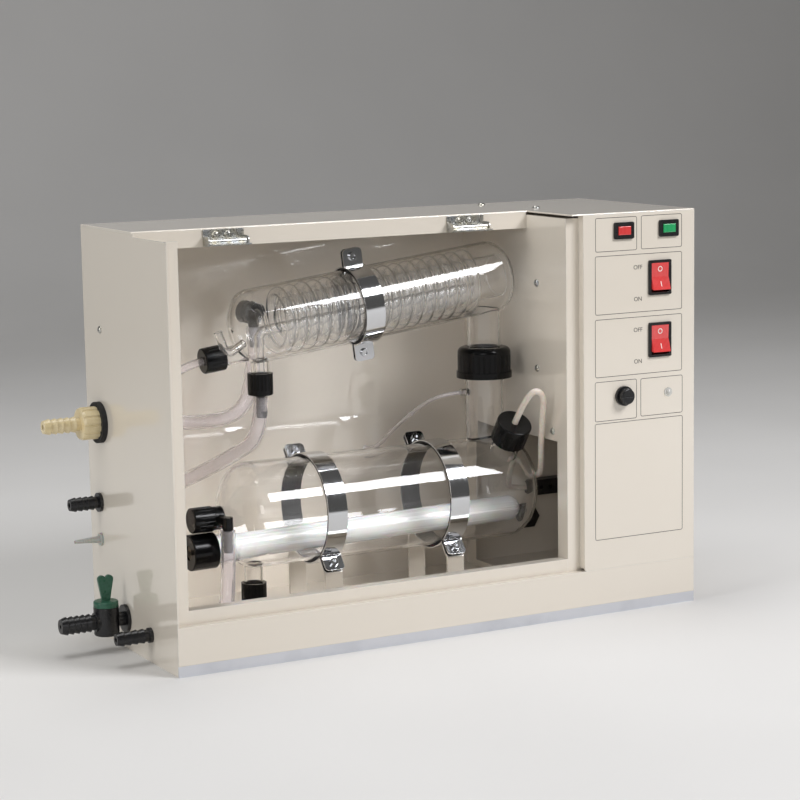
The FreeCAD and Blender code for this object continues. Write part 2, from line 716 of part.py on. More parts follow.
def riser_cap():
    cap = rod(RISER_CAP_R, V(0, 0, 0), V(0, 0, 1), RISER_CAP_H)
    rim = [e for e in cap.Edges if abs(e.CenterOfMass.z - RISER_CAP_H) < 0.01]
    cap = cap.makeFillet(RISER_CAP_ROUND, rim[:1])
    cap = ribbed(cap, RISER_CAP_R, RISER_CAP_H, 30)
    cap = joined([cap, rod(RISER_CAP_R + RISER_CAP_BEAD, V(0, 0, 0), V(0, 0, 1), 5 * RISER_CAP_BEAD)])
    cap = cap.cut(rod(RISER_THREAD_R + EASE, V(0, 0, 0), V(0, 0, 1), RISER_CAP_H - RISER_CAP_LIP))
    cap = cap.cut(rod(ARM_R + EASE, V(0, 0, 0), V(0, 0, 1), RISER_CAP_H))
    return stand(cap, V(RISER_AT, MIDDLE, riser_top() + RISER_CAP_LIP - RISER_CAP_H), V(0, 0, 1))


def riser_seal():
    return pipe(RISER_THREAD_R, RISER_R - RISER_WALL, V(RISER_AT, MIDDLE, RISER_TOP), V(0, 0, 1), RISER_SEAL)


def arm_centre():
    return along_condenser(COIL_START, down=-COIL_BEND)


def small_screw_caps():
    closed = screw_cap(SMALL_R, SMALL_H, SMALL_NECK, 0)
    closed = ribbed(closed, SMALL_R, SMALL_H, 20)
    for_tube = ribbed(screw_cap(SMALL_R, SMALL_H, SMALL_NECK, TUBE_R + EASE), SMALL_R, SMALL_H, 20)
    for_barb = ribbed(screw_cap(SMALL_R, SMALL_H, SMALL_NECK, SPOUT_R + EASE), SMALL_R, SMALL_H, 20)
    depth = SMALL_H - CAP_TOP
    outlet = along_condenser(OUTLET_END, down=OUTLET_DOWN)
    return group([
        stand(closed, V(LEVEL_NECK_END + depth, MIDDLE, LEVEL_UP), V(-1, 0, 0)),
        stand(closed, arm_centre() + V(0, ARM_REACH - depth, 0), V(0, 1, 0)),
        stand(for_barb, V(DRAIN_AT, MIDDLE, DRAIN_END + depth - CAP_SEAT), V(0, 0, -1)),
        stand(for_barb, V(STUB_AT, MIDDLE, STUB_END + depth - CAP_SEAT), V(0, 0, -1)),
        stand(for_tube, outlet + condenser_axis() * depth, -condenser_axis()),
    ])


COLLAR_BARB = 21.0
COLLAR_WAY = 2.4


def collar(centre, axis, forward):
    """A ring round a neck, with an arm to the front and a hose tail that points down."""
    down = V(0, 0, -1)
    knee = centre + V(0, -forward, 0)
    drop = SPOUT_R + 2 if forward else COLLAR_R + 3
    foot = knee + down * drop
    shapes = [
        rod(COLLAR_R, centre - axis * (COLLAR_WIDE / 2), axis, COLLAR_WIDE),
        rod(SPOUT_R, knee - down * (SPOUT_R if forward else 0), down, drop + (SPOUT_R if forward else 0)),
        stand(barb(COLLAR_BARB, HOSE_BORE - EASE, 4.0, COLLAR_WAY, 3), foot, down),
    ]
    ways = [rod(COLLAR_WAY, knee, down, drop)]
    if forward:
        shapes.append(rod(SPOUT_R, centre, V(0, -1, 0), forward))
        ways.append(rod(COLLAR_WAY, centre, V(0, -1, 0), forward))
    ways.append(rod(SMALL_NECK + EASE, centre - axis * COLLAR_WIDE, axis, 2 * COLLAR_WIDE))
    return joined(shapes).cut(joined(ways))


def low_foot():
    return V(COLLAR_AT, MIDDLE - COLLAR_FORWARD, LEVEL_UP - SPOUT_R - 2)


def high_centre():
    return arm_centre() + V(0, ARM_REACH - SMALL_H + CAP_TOP - 1.0 - COLLAR_WIDE / 2, 0)


def high_foot():
    return high_centre() - V(0, 0, COLLAR_R + 3)


def hose_collars():
    return group([collar(V(COLLAR_AT, MIDDLE, LEVEL_UP), V(1, 0, 0), COLLAR_FORWARD),
                  collar(high_centre(), V(0, 1, 0), 0)])


OUTLET_STEM = CAP_SEAT + CAP_TOP + 1.5


def outlet_barb():
    """Flanged hose tail held in the cap under the condenser."""
    stem = OUTLET_STEM
    body = joined([rod(SMALL_NECK, V(0, 0, 0), V(0, 0, 1), CAP_SEAT),
                   rod(SPOUT_R, V(0, 0, 0), V(0, 0, 1), stem)])
    body = body.cut(rod(COLLAR_WAY, V(0, 0, -1), V(0, 0, 1), stem + 2))
    tail = stand(barb(20.0, HOSE_BORE - EASE, 4.0, COLLAR_WAY, 3), V(0, 0, stem), V(0, 0, 1))
    return stand(joined([body, tail]), V(STUB_AT, MIDDLE, STUB_END), V(0, 0, -1))


DRAIN_PIPE_UP = 25.4
DRAIN_STEM_R = 4.0


def drain_elbow():
    """Flanged in the drain cap, then turned to the left into a hose tail."""
    down = V(0, 0, -1)
    left = V(-1, 0, 0)
    top = V(DRAIN_AT, MIDDLE, DRAIN_END)
    knee = V(DRAIN_AT, MIDDLE, DRAIN_PIPE_UP)
    run = SMALL_R + 2
    body = joined([rod(SMALL_NECK, top, down, CAP_SEAT),
                   rod(DRAIN_STEM_R, top, down, DRAIN_END - DRAIN_PIPE_UP + DRAIN_STEM_R),
                   rod(DRAIN_STEM_R, knee, left, run)])
    body = body.cut(rod(1.6, top + V(0, 0, 1), down, top.z - knee.z + 1)).cut(rod(1.6, knee, left, run + 1))
    tail = stand(barb(18.0, DRAIN_BORE - EASE, 2.3, 1.6, 3), knee + left * run, left)
    return joined([body, tail])


# The condenser

def condenser_jacket():
    wall = COND_WALL
    drum = to_condenser(dished(COND_R, COND_KNUCKLE, COND_CROWN, COND_LENGTH))
    space = dished(COND_R - wall, COND_KNUCKLE - wall, COND_CROWN - wall, COND_LENGTH - 2 * wall)
    space.translate(V(wall, 0, 0))
    space = to_condenser(space)
    down = V(0, 0, -1)
    left = -condenser_axis()
    rear = V(0, 1, 0)
    tilt = math.tan(math.radians(COND_TILT))
    arm = V(RISER_AT, MIDDLE, COND_UP + (RISER_AT - COND_LEFT) * tilt - COND_R / 2)
    arm_run = arm.z - RISER_TOP - RISER_SEAL
    stub = V(STUB_AT, MIDDLE, COND_UP + (STUB_AT - COND_LEFT) * tilt - COND_R / 2)
    outlet = along_condenser(COND_KNUCKLE + 4, down=OUTLET_DOWN)
    side = arm_centre() + V(0, COND_R / 2 + 4, 0)
    side_run = ARM_REACH - COND_R / 2 - 4
    tip = V(COND_LEFT, MIDDLE, COND_UP)
    vent = [tip + V(5.4, -14, -10.9), tip + V(-14.6, -21, -19.9), tip + V(-22.6, -21, 2.1)]
    bore = SMALL_NECK - NECK_WALL
    outer = [
        drum,
        rod(ARM_R, arm, down, arm_run),
        rod(ARM_LIP_R, V(RISER_AT, MIDDLE, RISER_TOP + RISER_SEAL), V(0, 0, 1), ARM_LIP),
        rod(SMALL_NECK, stub, down, stub.z - STUB_END),
        rod(SMALL_NECK, outlet, left, COND_KNUCKLE + 4 - OUTLET_END),
        rod(SMALL_NECK, side, rear, side_run),
        bent(vent, VENT_R, 9.0),
    ]
    inner = [
        space,
        rod(ARM_R - ARM_WALL, arm, down, arm_run),
        rod(bore, stub, down, stub.z - STUB_END),
        rod(bore, outlet, left, COND_KNUCKLE + 4 - OUTLET_END),
        rod(bore, side, rear, side_run),
        bent(vent, VENT_BORE, 9.0),
    ]
    return joined(outer).cut(joined(inner))


def condenser_core():
    length = CORE_END - CORE_START + 2 * COND_R
    wall = CORE_WALL
    outer = dished(CORE_R, CORE_KNUCKLE, CORE_CROWN, length)
    inner = dished(CORE_R - wall, CORE_KNUCKLE - wall, CORE_CROWN - wall, length - 2 * wall)
    inner.translate(V(wall, 0, 0))
    shell = outer.cut(inner).common(block(-1, CORE_END - CORE_START, -50, 50, -50, 50))
    end = coil_end() - CORE_START
    hole = COIL_TUBE_R + EASE
    shell = shell.cut(rod(hole, V(end, 0, -COIL_BEND), V(0, 1, 0), 50))
    shell = shell.cut(rod(hole, V(-1, 0, -COIL_BEND), V(1, 0, 0), CORE_KNUCKLE + 6))
    shell.translate(V(CORE_START, 0, 0))
    return to_condenser(shell)


def coil_end():
    return COIL_START + COIL_TURNS * COIL_PITCH


COIL_INSIDE = CORE_R - 1.0 - 2 * COIL_TUBE_R


def biarc(p0, t0, p1, t1):
    """Two arcs that leave p0 along t0 and reach p1 along t1."""
    gap = p1 - p0
    both = t0 + t1
    slack = 2 * (1 - t0.dot(t1))
    if slack < 1e-9:
        reach = gap.dot(gap) / (4 * gap.dot(t1))
    else:
        reach = (-gap.dot(both) + math.sqrt(gap.dot(both) ** 2 + slack * gap.dot(gap))) / slack
    q0 = p0 + t0 * reach
    q1 = p1 - t1 * reach
    meet = (q0 + q1) * 0.5
    arcs = []
    for first, corner, last in ((p0, q0, meet), (meet, q1, p1)):
        weight = math.cos((corner - first).getAngle(last - corner) / 2)
        middle = (first + corner * (2 * weight) + last) * (1 / (2 + 2 * weight))
        arcs.append(Part.Arc(first, middle, last).toShape())
    return arcs


def coil_wire():
    """In by the rear arm, round the core from rear to bottom to front, then in to the middle."""
    quarters = 4 * COIL_TURNS
    pitch_turn = COIL_PITCH / (2 * math.pi)
    points = []
    for i in range(quarters + 1):
        turn = math.pi / 2 * i
        place = V(COIL_START + pitch_turn * turn, COIL_R * math.cos(turn), -COIL_R * math.sin(turn))
        slope = 0.0 if i in (0, quarters) else pitch_turn
        ahead = V(slope, -COIL_R * math.sin(turn), -COIL_R * math.cos(turn)).normalize()
        points.append((place, ahead))
    bend = COIL_BEND
    corner = bend * (1 - math.sqrt(0.5))
    start = points[0][0]
    end = points[-1][0]
    edges = [
        Part.makeLine(start + V(0, ARM_REACH - SMALL_H - COIL_R, bend), start + V(0, bend, bend)),
        Part.Arc(start + V(0, bend, bend), start + V(0, corner, bend - corner), start).toShape(),
    ]
    for (p0, t0), (p1, t1) in zip(points, points[1:]):
        edges += biarc(p0, t0, p1, t1)
    edges += [
        Part.Arc(end, end + V(0, -corner, corner - bend), end + V(0, -bend, -bend)).toShape(),
        Part.makeLine(end + V(0, -bend, -bend), V(end.x, COIL_INSIDE, -bend)),
    ]
    return Part.Wire(edges)


def least_gap(wire, radius):
    step = radius
    count = int(wire.Length / step)
    points = wire.discretize(Number=count)
    cells = {}
    size = 4 * radius
    for i, p in enumerate(points):
        cells.setdefault((int(p.x // size), int(p.y // size), int(p.z // size)), []).append(i)
    least = 1e9
    skip = int(6 * radius / step) + 2
    for (a, b, c), members in cells.items():
        near = []
        for da in (-1, 0, 1):
            for db in (-1, 0, 1):
                for dc in (-1, 0, 1):
                    near += cells.get((a + da, b + db, c + dc), [])
        for i in members:
            for j in near:
                if j - i > skip:
                    least = min(least, (points[i] - points[j]).Length)
    return least - 2 * radius


def condenser_coil():
    wire = coil_wire()
    print(f"coil: {COIL_TURNS} turns, length {wire.Length:.0f}, least gap to itself "
          f"{least_gap(wire, COIL_TUBE_R):.2f}")
    start = wire.OrderedVertexes[0].Point
    solid = swept(wire, start, V(0, 1, 0), COIL_TUBE_R)
    expected = math.pi * COIL_TUBE_R ** 2 * wire.Length
    print(f"coil: volume over section times length {solid.Volume / expected:.3f}")
    return to_condenser(solid)


def coil_return_tube():
    """From the coil's inner end along the middle of the core and down the stub."""
    tilt = math.radians(COND_TILT)
    first = V(coil_end(), COIL_INSIDE, -COIL_BEND)
    second = V(coil_end(), 0, -COIL_BEND)
    stub_along = (STUB_AT - COND_LEFT + COIL_BEND * -math.sin(tilt)) / math.cos(tilt)
    third = V(stub_along, 0, -COIL_BEND)
    points = [first, second, third]
    points = [along_condenser(p.x, down=-p.z, back=p.y) for p in points]
    points[2] = V(STUB_AT, MIDDLE, points[2].z)
    points.append(V(STUB_AT, MIDDLE, STUB_END + 1.0))
    return bent(points, COIL_TUBE_R, 8.0)


# Clamps and supports

def across(shape, place, turn):
    """Takes a piece made round Z to lie round X; turn goes from the rear towards the top."""
    placed = shape.copy()
    placed.rotate(V(0, 0, 0), V(0, 0, 1), turn)
    cyclic = FreeCAD.Rotation(V(1, 1, 1), 120)
    placed.Placement = FreeCAD.Placement(place, cyclic).multiply(placed.Placement)
    return placed


def half_band(radius, thick, ears):
    wide = BAND_WIDE
    ring = pipe(radius + thick, radius, V(0, 0, -wide / 2), V(0, 0, 1), wide)
    edge = CLAMP_GAP / 2
    far = radius + thick
    half = ring.common(block(-99, 99, edge, 99, -wide, wide))
    if not ears:
        return half
    shapes = [half]
    for side in (1, -1):
        start, stop = radius + thick / 2, far + EAR
        ear = block(start, stop, edge, edge + thick, -wide / 2, wide / 2)
        outer = [e for e in ear.Edges if abs(e.CenterOfMass.x - stop) < 0.01
                 and abs(abs(e.CenterOfMass.z) - wide / 2) < 0.01]
        ear = ear.makeFillet(4.0, outer)
        ear = ear.cut(rod(BOLT_R + EASE, V(ear_middle(far), 0, 0), V(0, 1, 0), 10))
        if side < 0:
            ear = ear.mirror(V(0, 0, 0), V(1, 0, 0))
        shapes.append(ear)
    return joined(shapes)


def ear_middle(far):
    return far + EAR / 2 + 0.5


def both_halves(half, place, turn):
    return [across(half, place, turn), across(half, place, turn + 180)]


def band_radius(drum):
    return drum + EASE + LINING + EASE


def boiler_clamp_bands():
    half = half_band(band_radius(BOILER_R), BAND, True)
    shapes = []
    for x in CLAMP_AT:
        shapes += both_halves(half, V(x, MIDDLE, BOILER_UP), SPLIT)
    return group(shapes)


def condenser_clamp_bands():
    half = half_band(band_radius(COND_R), BAND, True)
    return group([to_condenser(s) for s in both_halves(half, V(COND_CLAMP_ALONG, 0, 0), 90)])


def clamp_linings():
    low = half_band(BOILER_R + EASE, LINING, False)
    high = half_band(COND_R + EASE, LINING, False)
    shapes = []
    for x in CLAMP_AT:
        shapes += both_halves(low, V(x, MIDDLE, BOILER_UP), SPLIT)
    shapes += [to_condenser(s) for s in both_halves(high, V(COND_CLAMP_ALONG, 0, 0), 90)]
    return group(shapes)


def strip(points, thick, wide):
    """A bent flat bar whose middle line follows the points, its width along X."""
    shapes = []
    for a, b in zip(points, points[1:]):
        bar = block(-wide / 2, wide / 2, -thick / 2, thick / 2, 0, (b - a).Length)
        shapes.append(stand(bar, a, b - a))
    for p in points[1:-1]:
        shapes.append(rod(thick / 2, p - V(wide / 2, 0, 0), V(1, 0, 0), wide))
    return joined(shapes)


def ear_place(x, reach, off, side=1):
    """A point on a boiler clamp's split line: reach from the axis, off below the line."""
    turn = math.radians(SPLIT)
    out = V(0, math.cos(turn), math.sin(turn)) * side
    below = V(0, math.sin(turn), -math.cos(turn))
    return V(x, MIDDLE, BOILER_UP) + out * reach + below * off


FOOT = 12.0
CONTACT = 35.0


def leg_points(x):
    far = band_radius(BOILER_R) + BAND
    off = CLAMP_GAP / 2 + BAND + LEG_THICK / 2
    top = ear_place(x, far + 2.0, off, -1)
    bend = ear_place(x, far + EAR, off, -1)
    foot_up = FLOOR_UP + LEG_THICK / 2
    front = [top, bend, V(x, bend.y, foot_up), V(x, bend.y - FOOT, foot_up)]
    turn = math.radians(CONTACT)
    out = V(0, math.cos(turn), -math.sin(turn))
    along = V(0, math.sin(turn), math.cos(turn))
    touch = V(x, MIDDLE, BOILER_UP) + out * (far + EASE + LEG_THICK / 2)
    low = touch - along * 12
    rear = [touch + along * 12, low, V(x, low.y, foot_up), V(x, low.y + FOOT, foot_up)]
    return front, rear


def boiler_supports():
    shapes = []
    for x in CLAMP_AT:
        front, rear = leg_points(x)
        leg = strip(front, LEG_THICK, LEG_WIDE)
        hole = ear_place(x, ear_middle(band_radius(BOILER_R) + BAND), 0, -1)
        leg = leg.cut(rod(BOLT_R + EASE, hole, ear_place(x, 0, 1) - ear_place(x, 0, 0), 12))
        shapes += [leg, strip(rear, LEG_THICK, LEG_WIDE)]
    return group(shapes)


def clamp_bolt(grip):
    """Head at the top, nut at the bottom, with the clamped pieces between 0 and -grip."""
    head = rod(4.0, V(0, 0, 0), V(0, 0, 1), 2.8).cut(hexagon(3.4, 2.0, 0).translated(V(0, 0, 1.2)))
    nut = hexagon(7.0, 3.2, 0)
    nut.translate(V(0, 0, -grip - 3.2))
    return joined([head, rod(BOLT_R, V(0, 0, -grip - 5.0), V(0, 0, 1), grip + 5.5), nut])


def clamp_fasteners():
    plain = CLAMP_GAP + 2 * BAND
    shapes = []
    turn = math.radians(SPLIT)
    above = V(0, -math.sin(turn), math.cos(turn))
    reach = ear_middle(band_radius(BOILER_R) + BAND)
    half = plain / 2
    for x in CLAMP_AT:
        shapes.append(stand(clamp_bolt(plain), ear_place(x, reach, -half, 1), above))
        shapes.append(stand(clamp_bolt(plain + LEG_THICK), ear_place(x, reach, -half, -1), above))
    for side in (1, -1):
        shapes.append(stand(clamp_bolt(plain), cond_ear(side) - V(0, half, 0), V(0, -1, 0)))
    return group(shapes)


def cond_ear(side):
    return along_condenser(COND_CLAMP_ALONG, down=-side * ear_middle(band_radius(COND_R) + BAND))


def condenser_bracket():
    """A post from the rear wall to the middle of the clamp's rear half."""
    round_band = band_radius(COND_R) + BAND
    start = along_condenser(COND_CLAMP_ALONG, back=round_band - STAND_OFF_R)
    post = rod(STAND_OFF_R, start, V(0, 1, 0), DEPTH - SHEET - start.y)
    band = rod(round_band + SLIP, V(COND_CLAMP_ALONG - BAND_WIDE, 0, 0), V(1, 0, 0), 2 * BAND_WIDE)
    return group([post.cut(to_condenser(band))])


# Ports on the left side

ROOT = 5.0


def bulkhead(outside, rib_r, flange_r, stem_r, inside_rib, inside, way):
    """Local Z points out of the panel's outer face, at zero."""
    flange = rod(flange_r, V(0, 0, 0), V(0, 0, 1), 3.0)
    stem = rod(stem_r, V(0, 0, -SHEET - 4), V(0, 0, 1), SHEET + 4)
    nut = hexagon(flange_r * 1.8, 4.0, 0)
    nut.translate(V(0, 0, -SHEET - 4))
    body = joined([flange, stem, nut]).cut(rod(way, V(0, 0, -9), V(0, 0, 1), 20))
    out_tail = stand(barb(outside - 3.0, rib_r, rib_r - 1.2, way, 4, ROOT), V(0, 0, 3), V(0, 0, 1))
    in_tail = stand(barb(inside, inside_rib, inside_rib - 0.7, way, 4), V(0, 0, -SHEET - 4), V(0, 0, -1))
    return joined([body, out_tail, in_tail])


def at_port(shape, port):
    return stand(shape, V(0, port[0], port[1]), V(-1, 0, 0))


WASHER_R = 19.3
WASHER_THICK = 5.0
UNION_NUT_R = 15.3
UNION_FLUTES = 12
FLUTE_R = 1.6
UNION_TAIL = 35.5
NUT_LONG = 16.0
BACK_NUT = 5.0


def inlet_washer():
    return at_port(pipe(WASHER_R, 9.0, V(0, 0, 0), V(0, 0, 1), WASHER_THICK), PORT_IN)


def inlet_union():
    foot = V(0, 0, WASHER_THICK)
    nut = Part.makeCone(UNION_NUT_R + 6, UNION_NUT_R - 1, NUT_LONG, foot, V(0, 0, 1))
    nut = nut.common(rod(UNION_NUT_R, foot, V(0, 0, 1), NUT_LONG))
    for i in range(UNION_FLUTES):
        turn = math.radians(360 / UNION_FLUTES * i)
        nut = nut.cut(rod(FLUTE_R, foot + V(math.cos(turn), math.sin(turn), 0) * (UNION_NUT_R + 0.5),
                          V(0, 0, 1), NUT_LONG))
    stem = rod(UNION_STEM_R, V(0, 0, -SHEET - BACK_NUT), V(0, 0, 1), SHEET + BACK_NUT + WASHER_THICK)
    back = hexagon(24.0, BACK_NUT, 0)
    back.translate(V(0, 0, -SHEET - BACK_NUT))
    body = joined([nut, stem, back]).cut(rod(2.6, V(0, 0, -30), V(0, 0, 1), 60))
    out_tail = stand(barb(UNION_TAIL, 7.5, 6.2, 2.6, 5, ROOT), foot + V(0, 0, NUT_LONG), V(0, 0, 1))
    in_tail = stand(barb(16.0, HOSE_BORE - EASE, 4.0, 2.6, 3), V(0, 0, -SHEET - BACK_NUT), V(0, 0, -1))
    return at_port(joined([body, out_tail, in_tail]), PORT_IN)


def hose_ports():
    return group([
        at_port(bulkhead(31.0, 6.8, 9.0, PORT_STEM_R, HOSE_BORE - EASE, 18.0, 2.4), PORT_OUT),
        at_port(bulkhead(34.0, 6.8, 6.9, PORT_STEM_R, HOSE_BORE - EASE, 18.0, 2.4), PORT_LEVEL),
    ])


def product_port():
    tail = Part.makeCone(3.4, 1.4, 25.0, V(0, 0, 2), V(0, 0, 1))
    body = joined([rod(6.0, V(0, 0, 0), V(0, 0, 1), 2.0), tail,
                   rod(PRODUCT_STEM_R, V(0, 0, -SHEET - 3), V(0, 0, 1), SHEET + 3),
                   rod(5.5, V(0, 0, -SHEET - 3), V(0, 0, 1), 3.0),
                   rod(TUBE_BORE - EASE, V(0, 0, -SHEET - 15), V(0, 0, 1), 14.0)])
    return at_port(body.cut(rod(0.7, V(0, 0, -30), V(0, 0, 1), 60)), PORT_PRODUCT)


TAP_FLANGE_R = 12.9
TAP_NECK_R = 6.5
TAP_BARREL_R = 11.7
TAP_TALL = 13.0
TAP_END_R = 8.8
TAP_STEM = 3.0
LEVER_R = 11.5
LEVER_CAP = 5.5
LEAF_THICK = 3.2


def tap_top():
    return PORT_TAP[1] + TAP_TALL + 0.4


def tap_body():
    """An upright barrel on a flanged neck, with a hose tail at its outer side."""
    out = V(0, 0, 1)
    barrel_end = TAP_OUT + TAP_BARREL_R
    body = joined([rod(TAP_FLANGE_R, V(0, 0, 0), out, 3.0), rod(TAP_NECK_R, V(0, 0, 0), out, TAP_OUT),
                   rod(TAP_END_R, V(0, 0, TAP_OUT), out, TAP_BARREL_R),
                   rod(TAP_STEM_BODY_R, V(0, 0, -SHEET - 4), out, SHEET + 4),
                   rod(10.0, V(0, 0, -SHEET - 4), out, 4.0)])
    out_tail = stand(barb(33.0, 8.5, 7.0, 1.9, 5, ROOT), V(0, 0, barrel_end), out)
    in_tail = stand(barb(16.0, DRAIN_BORE - EASE, 2.2, 1.2, 3), V(0, 0, -SHEET - 4), V(0, 0, -1))
    body = at_port(joined([body, out_tail, in_tail]), PORT_TAP)
    low = V(-TAP_OUT, PORT_TAP[0], PORT_TAP[1] - TAP_TALL)
    barrel = rod(TAP_BARREL_R, low, V(0, 0, 1), tap_top() - low.z)
    rims = [e for e in barrel.Edges if abs(e.CenterOfMass.z - low.z) < 0.01]
    barrel = barrel.makeFillet(1.5, rims[:1])
    well = rod(TAP_STEM + RUN, V(-TAP_OUT, PORT_TAP[0], PORT_TAP[1] + 2.5), V(0, 0, 1), TAP_TALL + 9)
    way = at_port(rod(1.9, V(0, 0, -SHEET - 5), out, barrel_end + SHEET + 6), PORT_TAP)
    return joined([body, barrel]).cut(well).cut(way)


def leaf(low, low_r, high, high_r):
    """One ear of the lever: a plate round two circles, in the plane of X and Z."""
    way = high - low
    run = way.Length
    way.normalize()
    square = V(-way.z, 0, way.x)
    slope = math.asin((low_r - high_r) / run)
    corners = []
    for side in (1, -1):
        out = way * math.sin(slope) + square * (side * math.cos(slope))
        pair = [low + out * low_r, high + out * high_r]
        corners += pair if side > 0 else pair[::-1]
    plate = Part.Face(Part.makePolygon(corners + corners[:1])).extrude(V(0, LEAF_THICK, 0))
    rounds = [rod(radius, at, V(0, 1, 0), LEAF_THICK) for radius, at in ((low_r, low), (high_r, high))]
    plate = joined([plate] + rounds)
    plate.translate(V(0, -LEAF_THICK / 2, 0))
    return plate


def tap_lever():
    """Its two leaves lie along the pipe, which is open."""
    cap = rod(LEVER_R, V(0, 0, 0), V(0, 0, 1), LEVER_CAP)
    rim = [e for e in cap.Edges if abs(e.CenterOfMass.z - LEVER_CAP) < 0.01]
    cap = cap.makeFillet(1.5, rim[:1])
    stem = rod(TAP_STEM, V(0, 0, -TAP_TALL + 2.6), V(0, 0, 1), TAP_TALL - 2)
    leaves = [leaf(V(side * 1.4, 0, LEVER_CAP + 1.5), 2.6, V(side * 3.6, 0, LEVER_CAP + 20), 3.8)
              for side in (-1, 1)]
    lever = joined([cap, stem] + leaves)
    lever.translate(V(-TAP_OUT, PORT_TAP[0], tap_top() + 0.3))
    return lever


# Hoses, each along its real way

def inlet_hose():
    foot = high_foot()
    across_in = SHEET + BACK_NUT + 0.5
    points = [V(across_in, PORT_IN[0], PORT_IN[1]), V(across_in + 38, PORT_IN[0], PORT_IN[1]),
              V(88, PORT_IN[0] - 12, PORT_IN[1] - 8.5), V(foot.x - 11.6, foot.y, 203),
              V(foot.x, foot.y, foot.z - 40.9), V(foot.x, foot.y, foot.z - 0.5)]
    return tube("inlet hose", points, HOSE_R, HOSE_BORE)


def return_hose():
    top = V(STUB_AT, MIDDLE, STUB_END - OUTLET_STEM - 0.5)
    end = V(SHEET + 4.5, PORT_OUT[0], PORT_OUT[1])
    over_boiler = BOILER_UP + BOILER_R + HOSE_R
    drop = (top.z - over_boiler) * 0.713
    points = [top, top - V(0, 0, drop), V(112, MIDDLE + 27, over_boiler - 6.5),
              V(84, end.y - 19.8, over_boiler - 26.5), end + V(39, 0, 0), end]
    return tube("return hose", points, HOSE_R, HOSE_BORE)


def level_hose():
    top = low_foot() - V(0, 0, 0.5)
    end = V(SHEET + 4.5, PORT_LEVEL[0], PORT_LEVEL[1])
    points = [top, top - V(0, 0, 39), V(77, 70, 31), end + V(36, 0, 0), end]
    return tube("level hose", points, HOSE_R, HOSE_BORE)


def drain_hose():
    start = V(DRAIN_AT - SMALL_R - 2.5, MIDDLE, DRAIN_PIPE_UP)
    end = V(SHEET + 4.5, PORT_TAP[0], PORT_TAP[1])
    points = [start, start - V(36, 0, 0), end + V(30, 0, 0), end]
    return tube("drain hose", points, DRAIN_R, DRAIN_BORE)


def product_tube():
    seat = along_condenser(OUTLET_END, down=OUTLET_DOWN)
    left = -condenser_axis()
    end = V(SHEET + 3.5, PORT_PRODUCT[0], PORT_PRODUCT[1])
    points = [seat - left * 6, seat + left * 24, V(36, 114, 238), V(27, 128, 206), V(27, end.y - 34.5, 172),
              V(31, end.y - 20.5, 140), V(34, end.y - 12.5, 118), end + V(23, 0, 0), end]
    return tube("product tube", points, TUBE_R, TUBE_BORE)


def silicone_sleeve():
    block_left = V(TERMINAL_AT[0] - EASE, DEPTH - SHEET - TERMINAL_DEEP / 2, TERMINAL_AT[1] + 8)
    points = [on_neck(NECK_REACH - 5), on_neck(NECK_REACH + 39), V(397, 30, 218), V(400, 39, 188),
              V(404, 48, 163), V(412, 61, 143), V(421, 78, 128), V(427, 104, 122), V(427, 128, 138),
              V(436, 154, 128), V(446, 180, 104), block_left - V(26, 0, 0), block_left]
    return tube("silicone sleeve", points, SLEEVE_R)


def balance_tube():
    start = V(RISER_AT - RISER_R - NIPPLE_OUT + 4, MIDDLE, NIPPLE_UP)
    end = V(GROMMET_AT[0], DEPTH - 1, GROMMET_AT[1])
    points = [start, start - V(20, 0, 0), V(318, 124, 203), V(302, 156, 176), end - V(0, 21, 0), end]
    return tube("balance tube", points, BALANCE_R)


# The hinges for the cover

def hinge_frames():
    shapes = []
    for x in HINGE_AT:
        z = HINGE_PIN_UP
        plate = block(x, x + HINGE_WIDE, RAIL_BACK - BAND, RAIL_BACK, z - 4.5, z + 10.5)
        parts = [plate]
        for side in (x, x + HINGE_WIDE - BAND):
            wing = block(side, side + BAND, HINGE_PIN_BACK, RAIL_BACK, z - 4.5, z + 4.5)
            eye = rod(4.5, V(side, HINGE_PIN_BACK, z), V(1, 0, 0), BAND)
            parts += [wing, eye]
        shape = joined(parts)
        shape = shape.cut(rod(HINGE_PIN_R + RUN, V(x - 1, HINGE_PIN_BACK, z), V(1, 0, 0), HINGE_WIDE + 2))
        shapes.append(drilled(shape, hinge_screw_places()))
    return group(shapes)


def hinge_leaf(x):
    start = V(x + BAND + SLIP, HINGE_PIN_BACK, HINGE_PIN_UP)
    length = HINGE_WIDE - 2 * BAND - 2 * SLIP
    barrel = rod(KNUCKLE_R, start, V(1, 0, 0), length)
    leaf = block(start.x, start.x + length, HINGE_PIN_BACK - 12, HINGE_PIN_BACK,
                 HINGE_PIN_UP - KNUCKLE_R, HINGE_PIN_UP - KNUCKLE_R + BAND)
    return joined([barrel, leaf]).cut(rod(HINGE_PIN_R + RUN, start, V(1, 0, 0), length))


def hinge_pins():
    return group([rod(HINGE_PIN_R, V(x, HINGE_PIN_BACK, HINGE_PIN_UP), V(1, 0, 0), HINGE_WIDE)
                  for x in HINGE_AT])


# In the electrical side

TERMINAL_AT = (BOX_LEFT + 62.0, 82.0)
TERMINAL_DEEP = 14.0
TERMINAL_WAYS = 3
TERMINAL_STEP = 11.0


def terminal_block():
    x, z = TERMINAL_AT
    back = DEPTH - SHEET
    body = block(x, x + TERMINAL_WAYS * TERMINAL_STEP + 1, back - TERMINAL_DEEP, back, z, z + 16)
    for i in range(TERMINAL_WAYS):
        mouth = V(x + 6 + TERMINAL_STEP * i, back - TERMINAL_DEEP - 1, z + 8)
        body = body.cut(rod(2.2, mouth, V(0, 1, 0), 5))
    return body


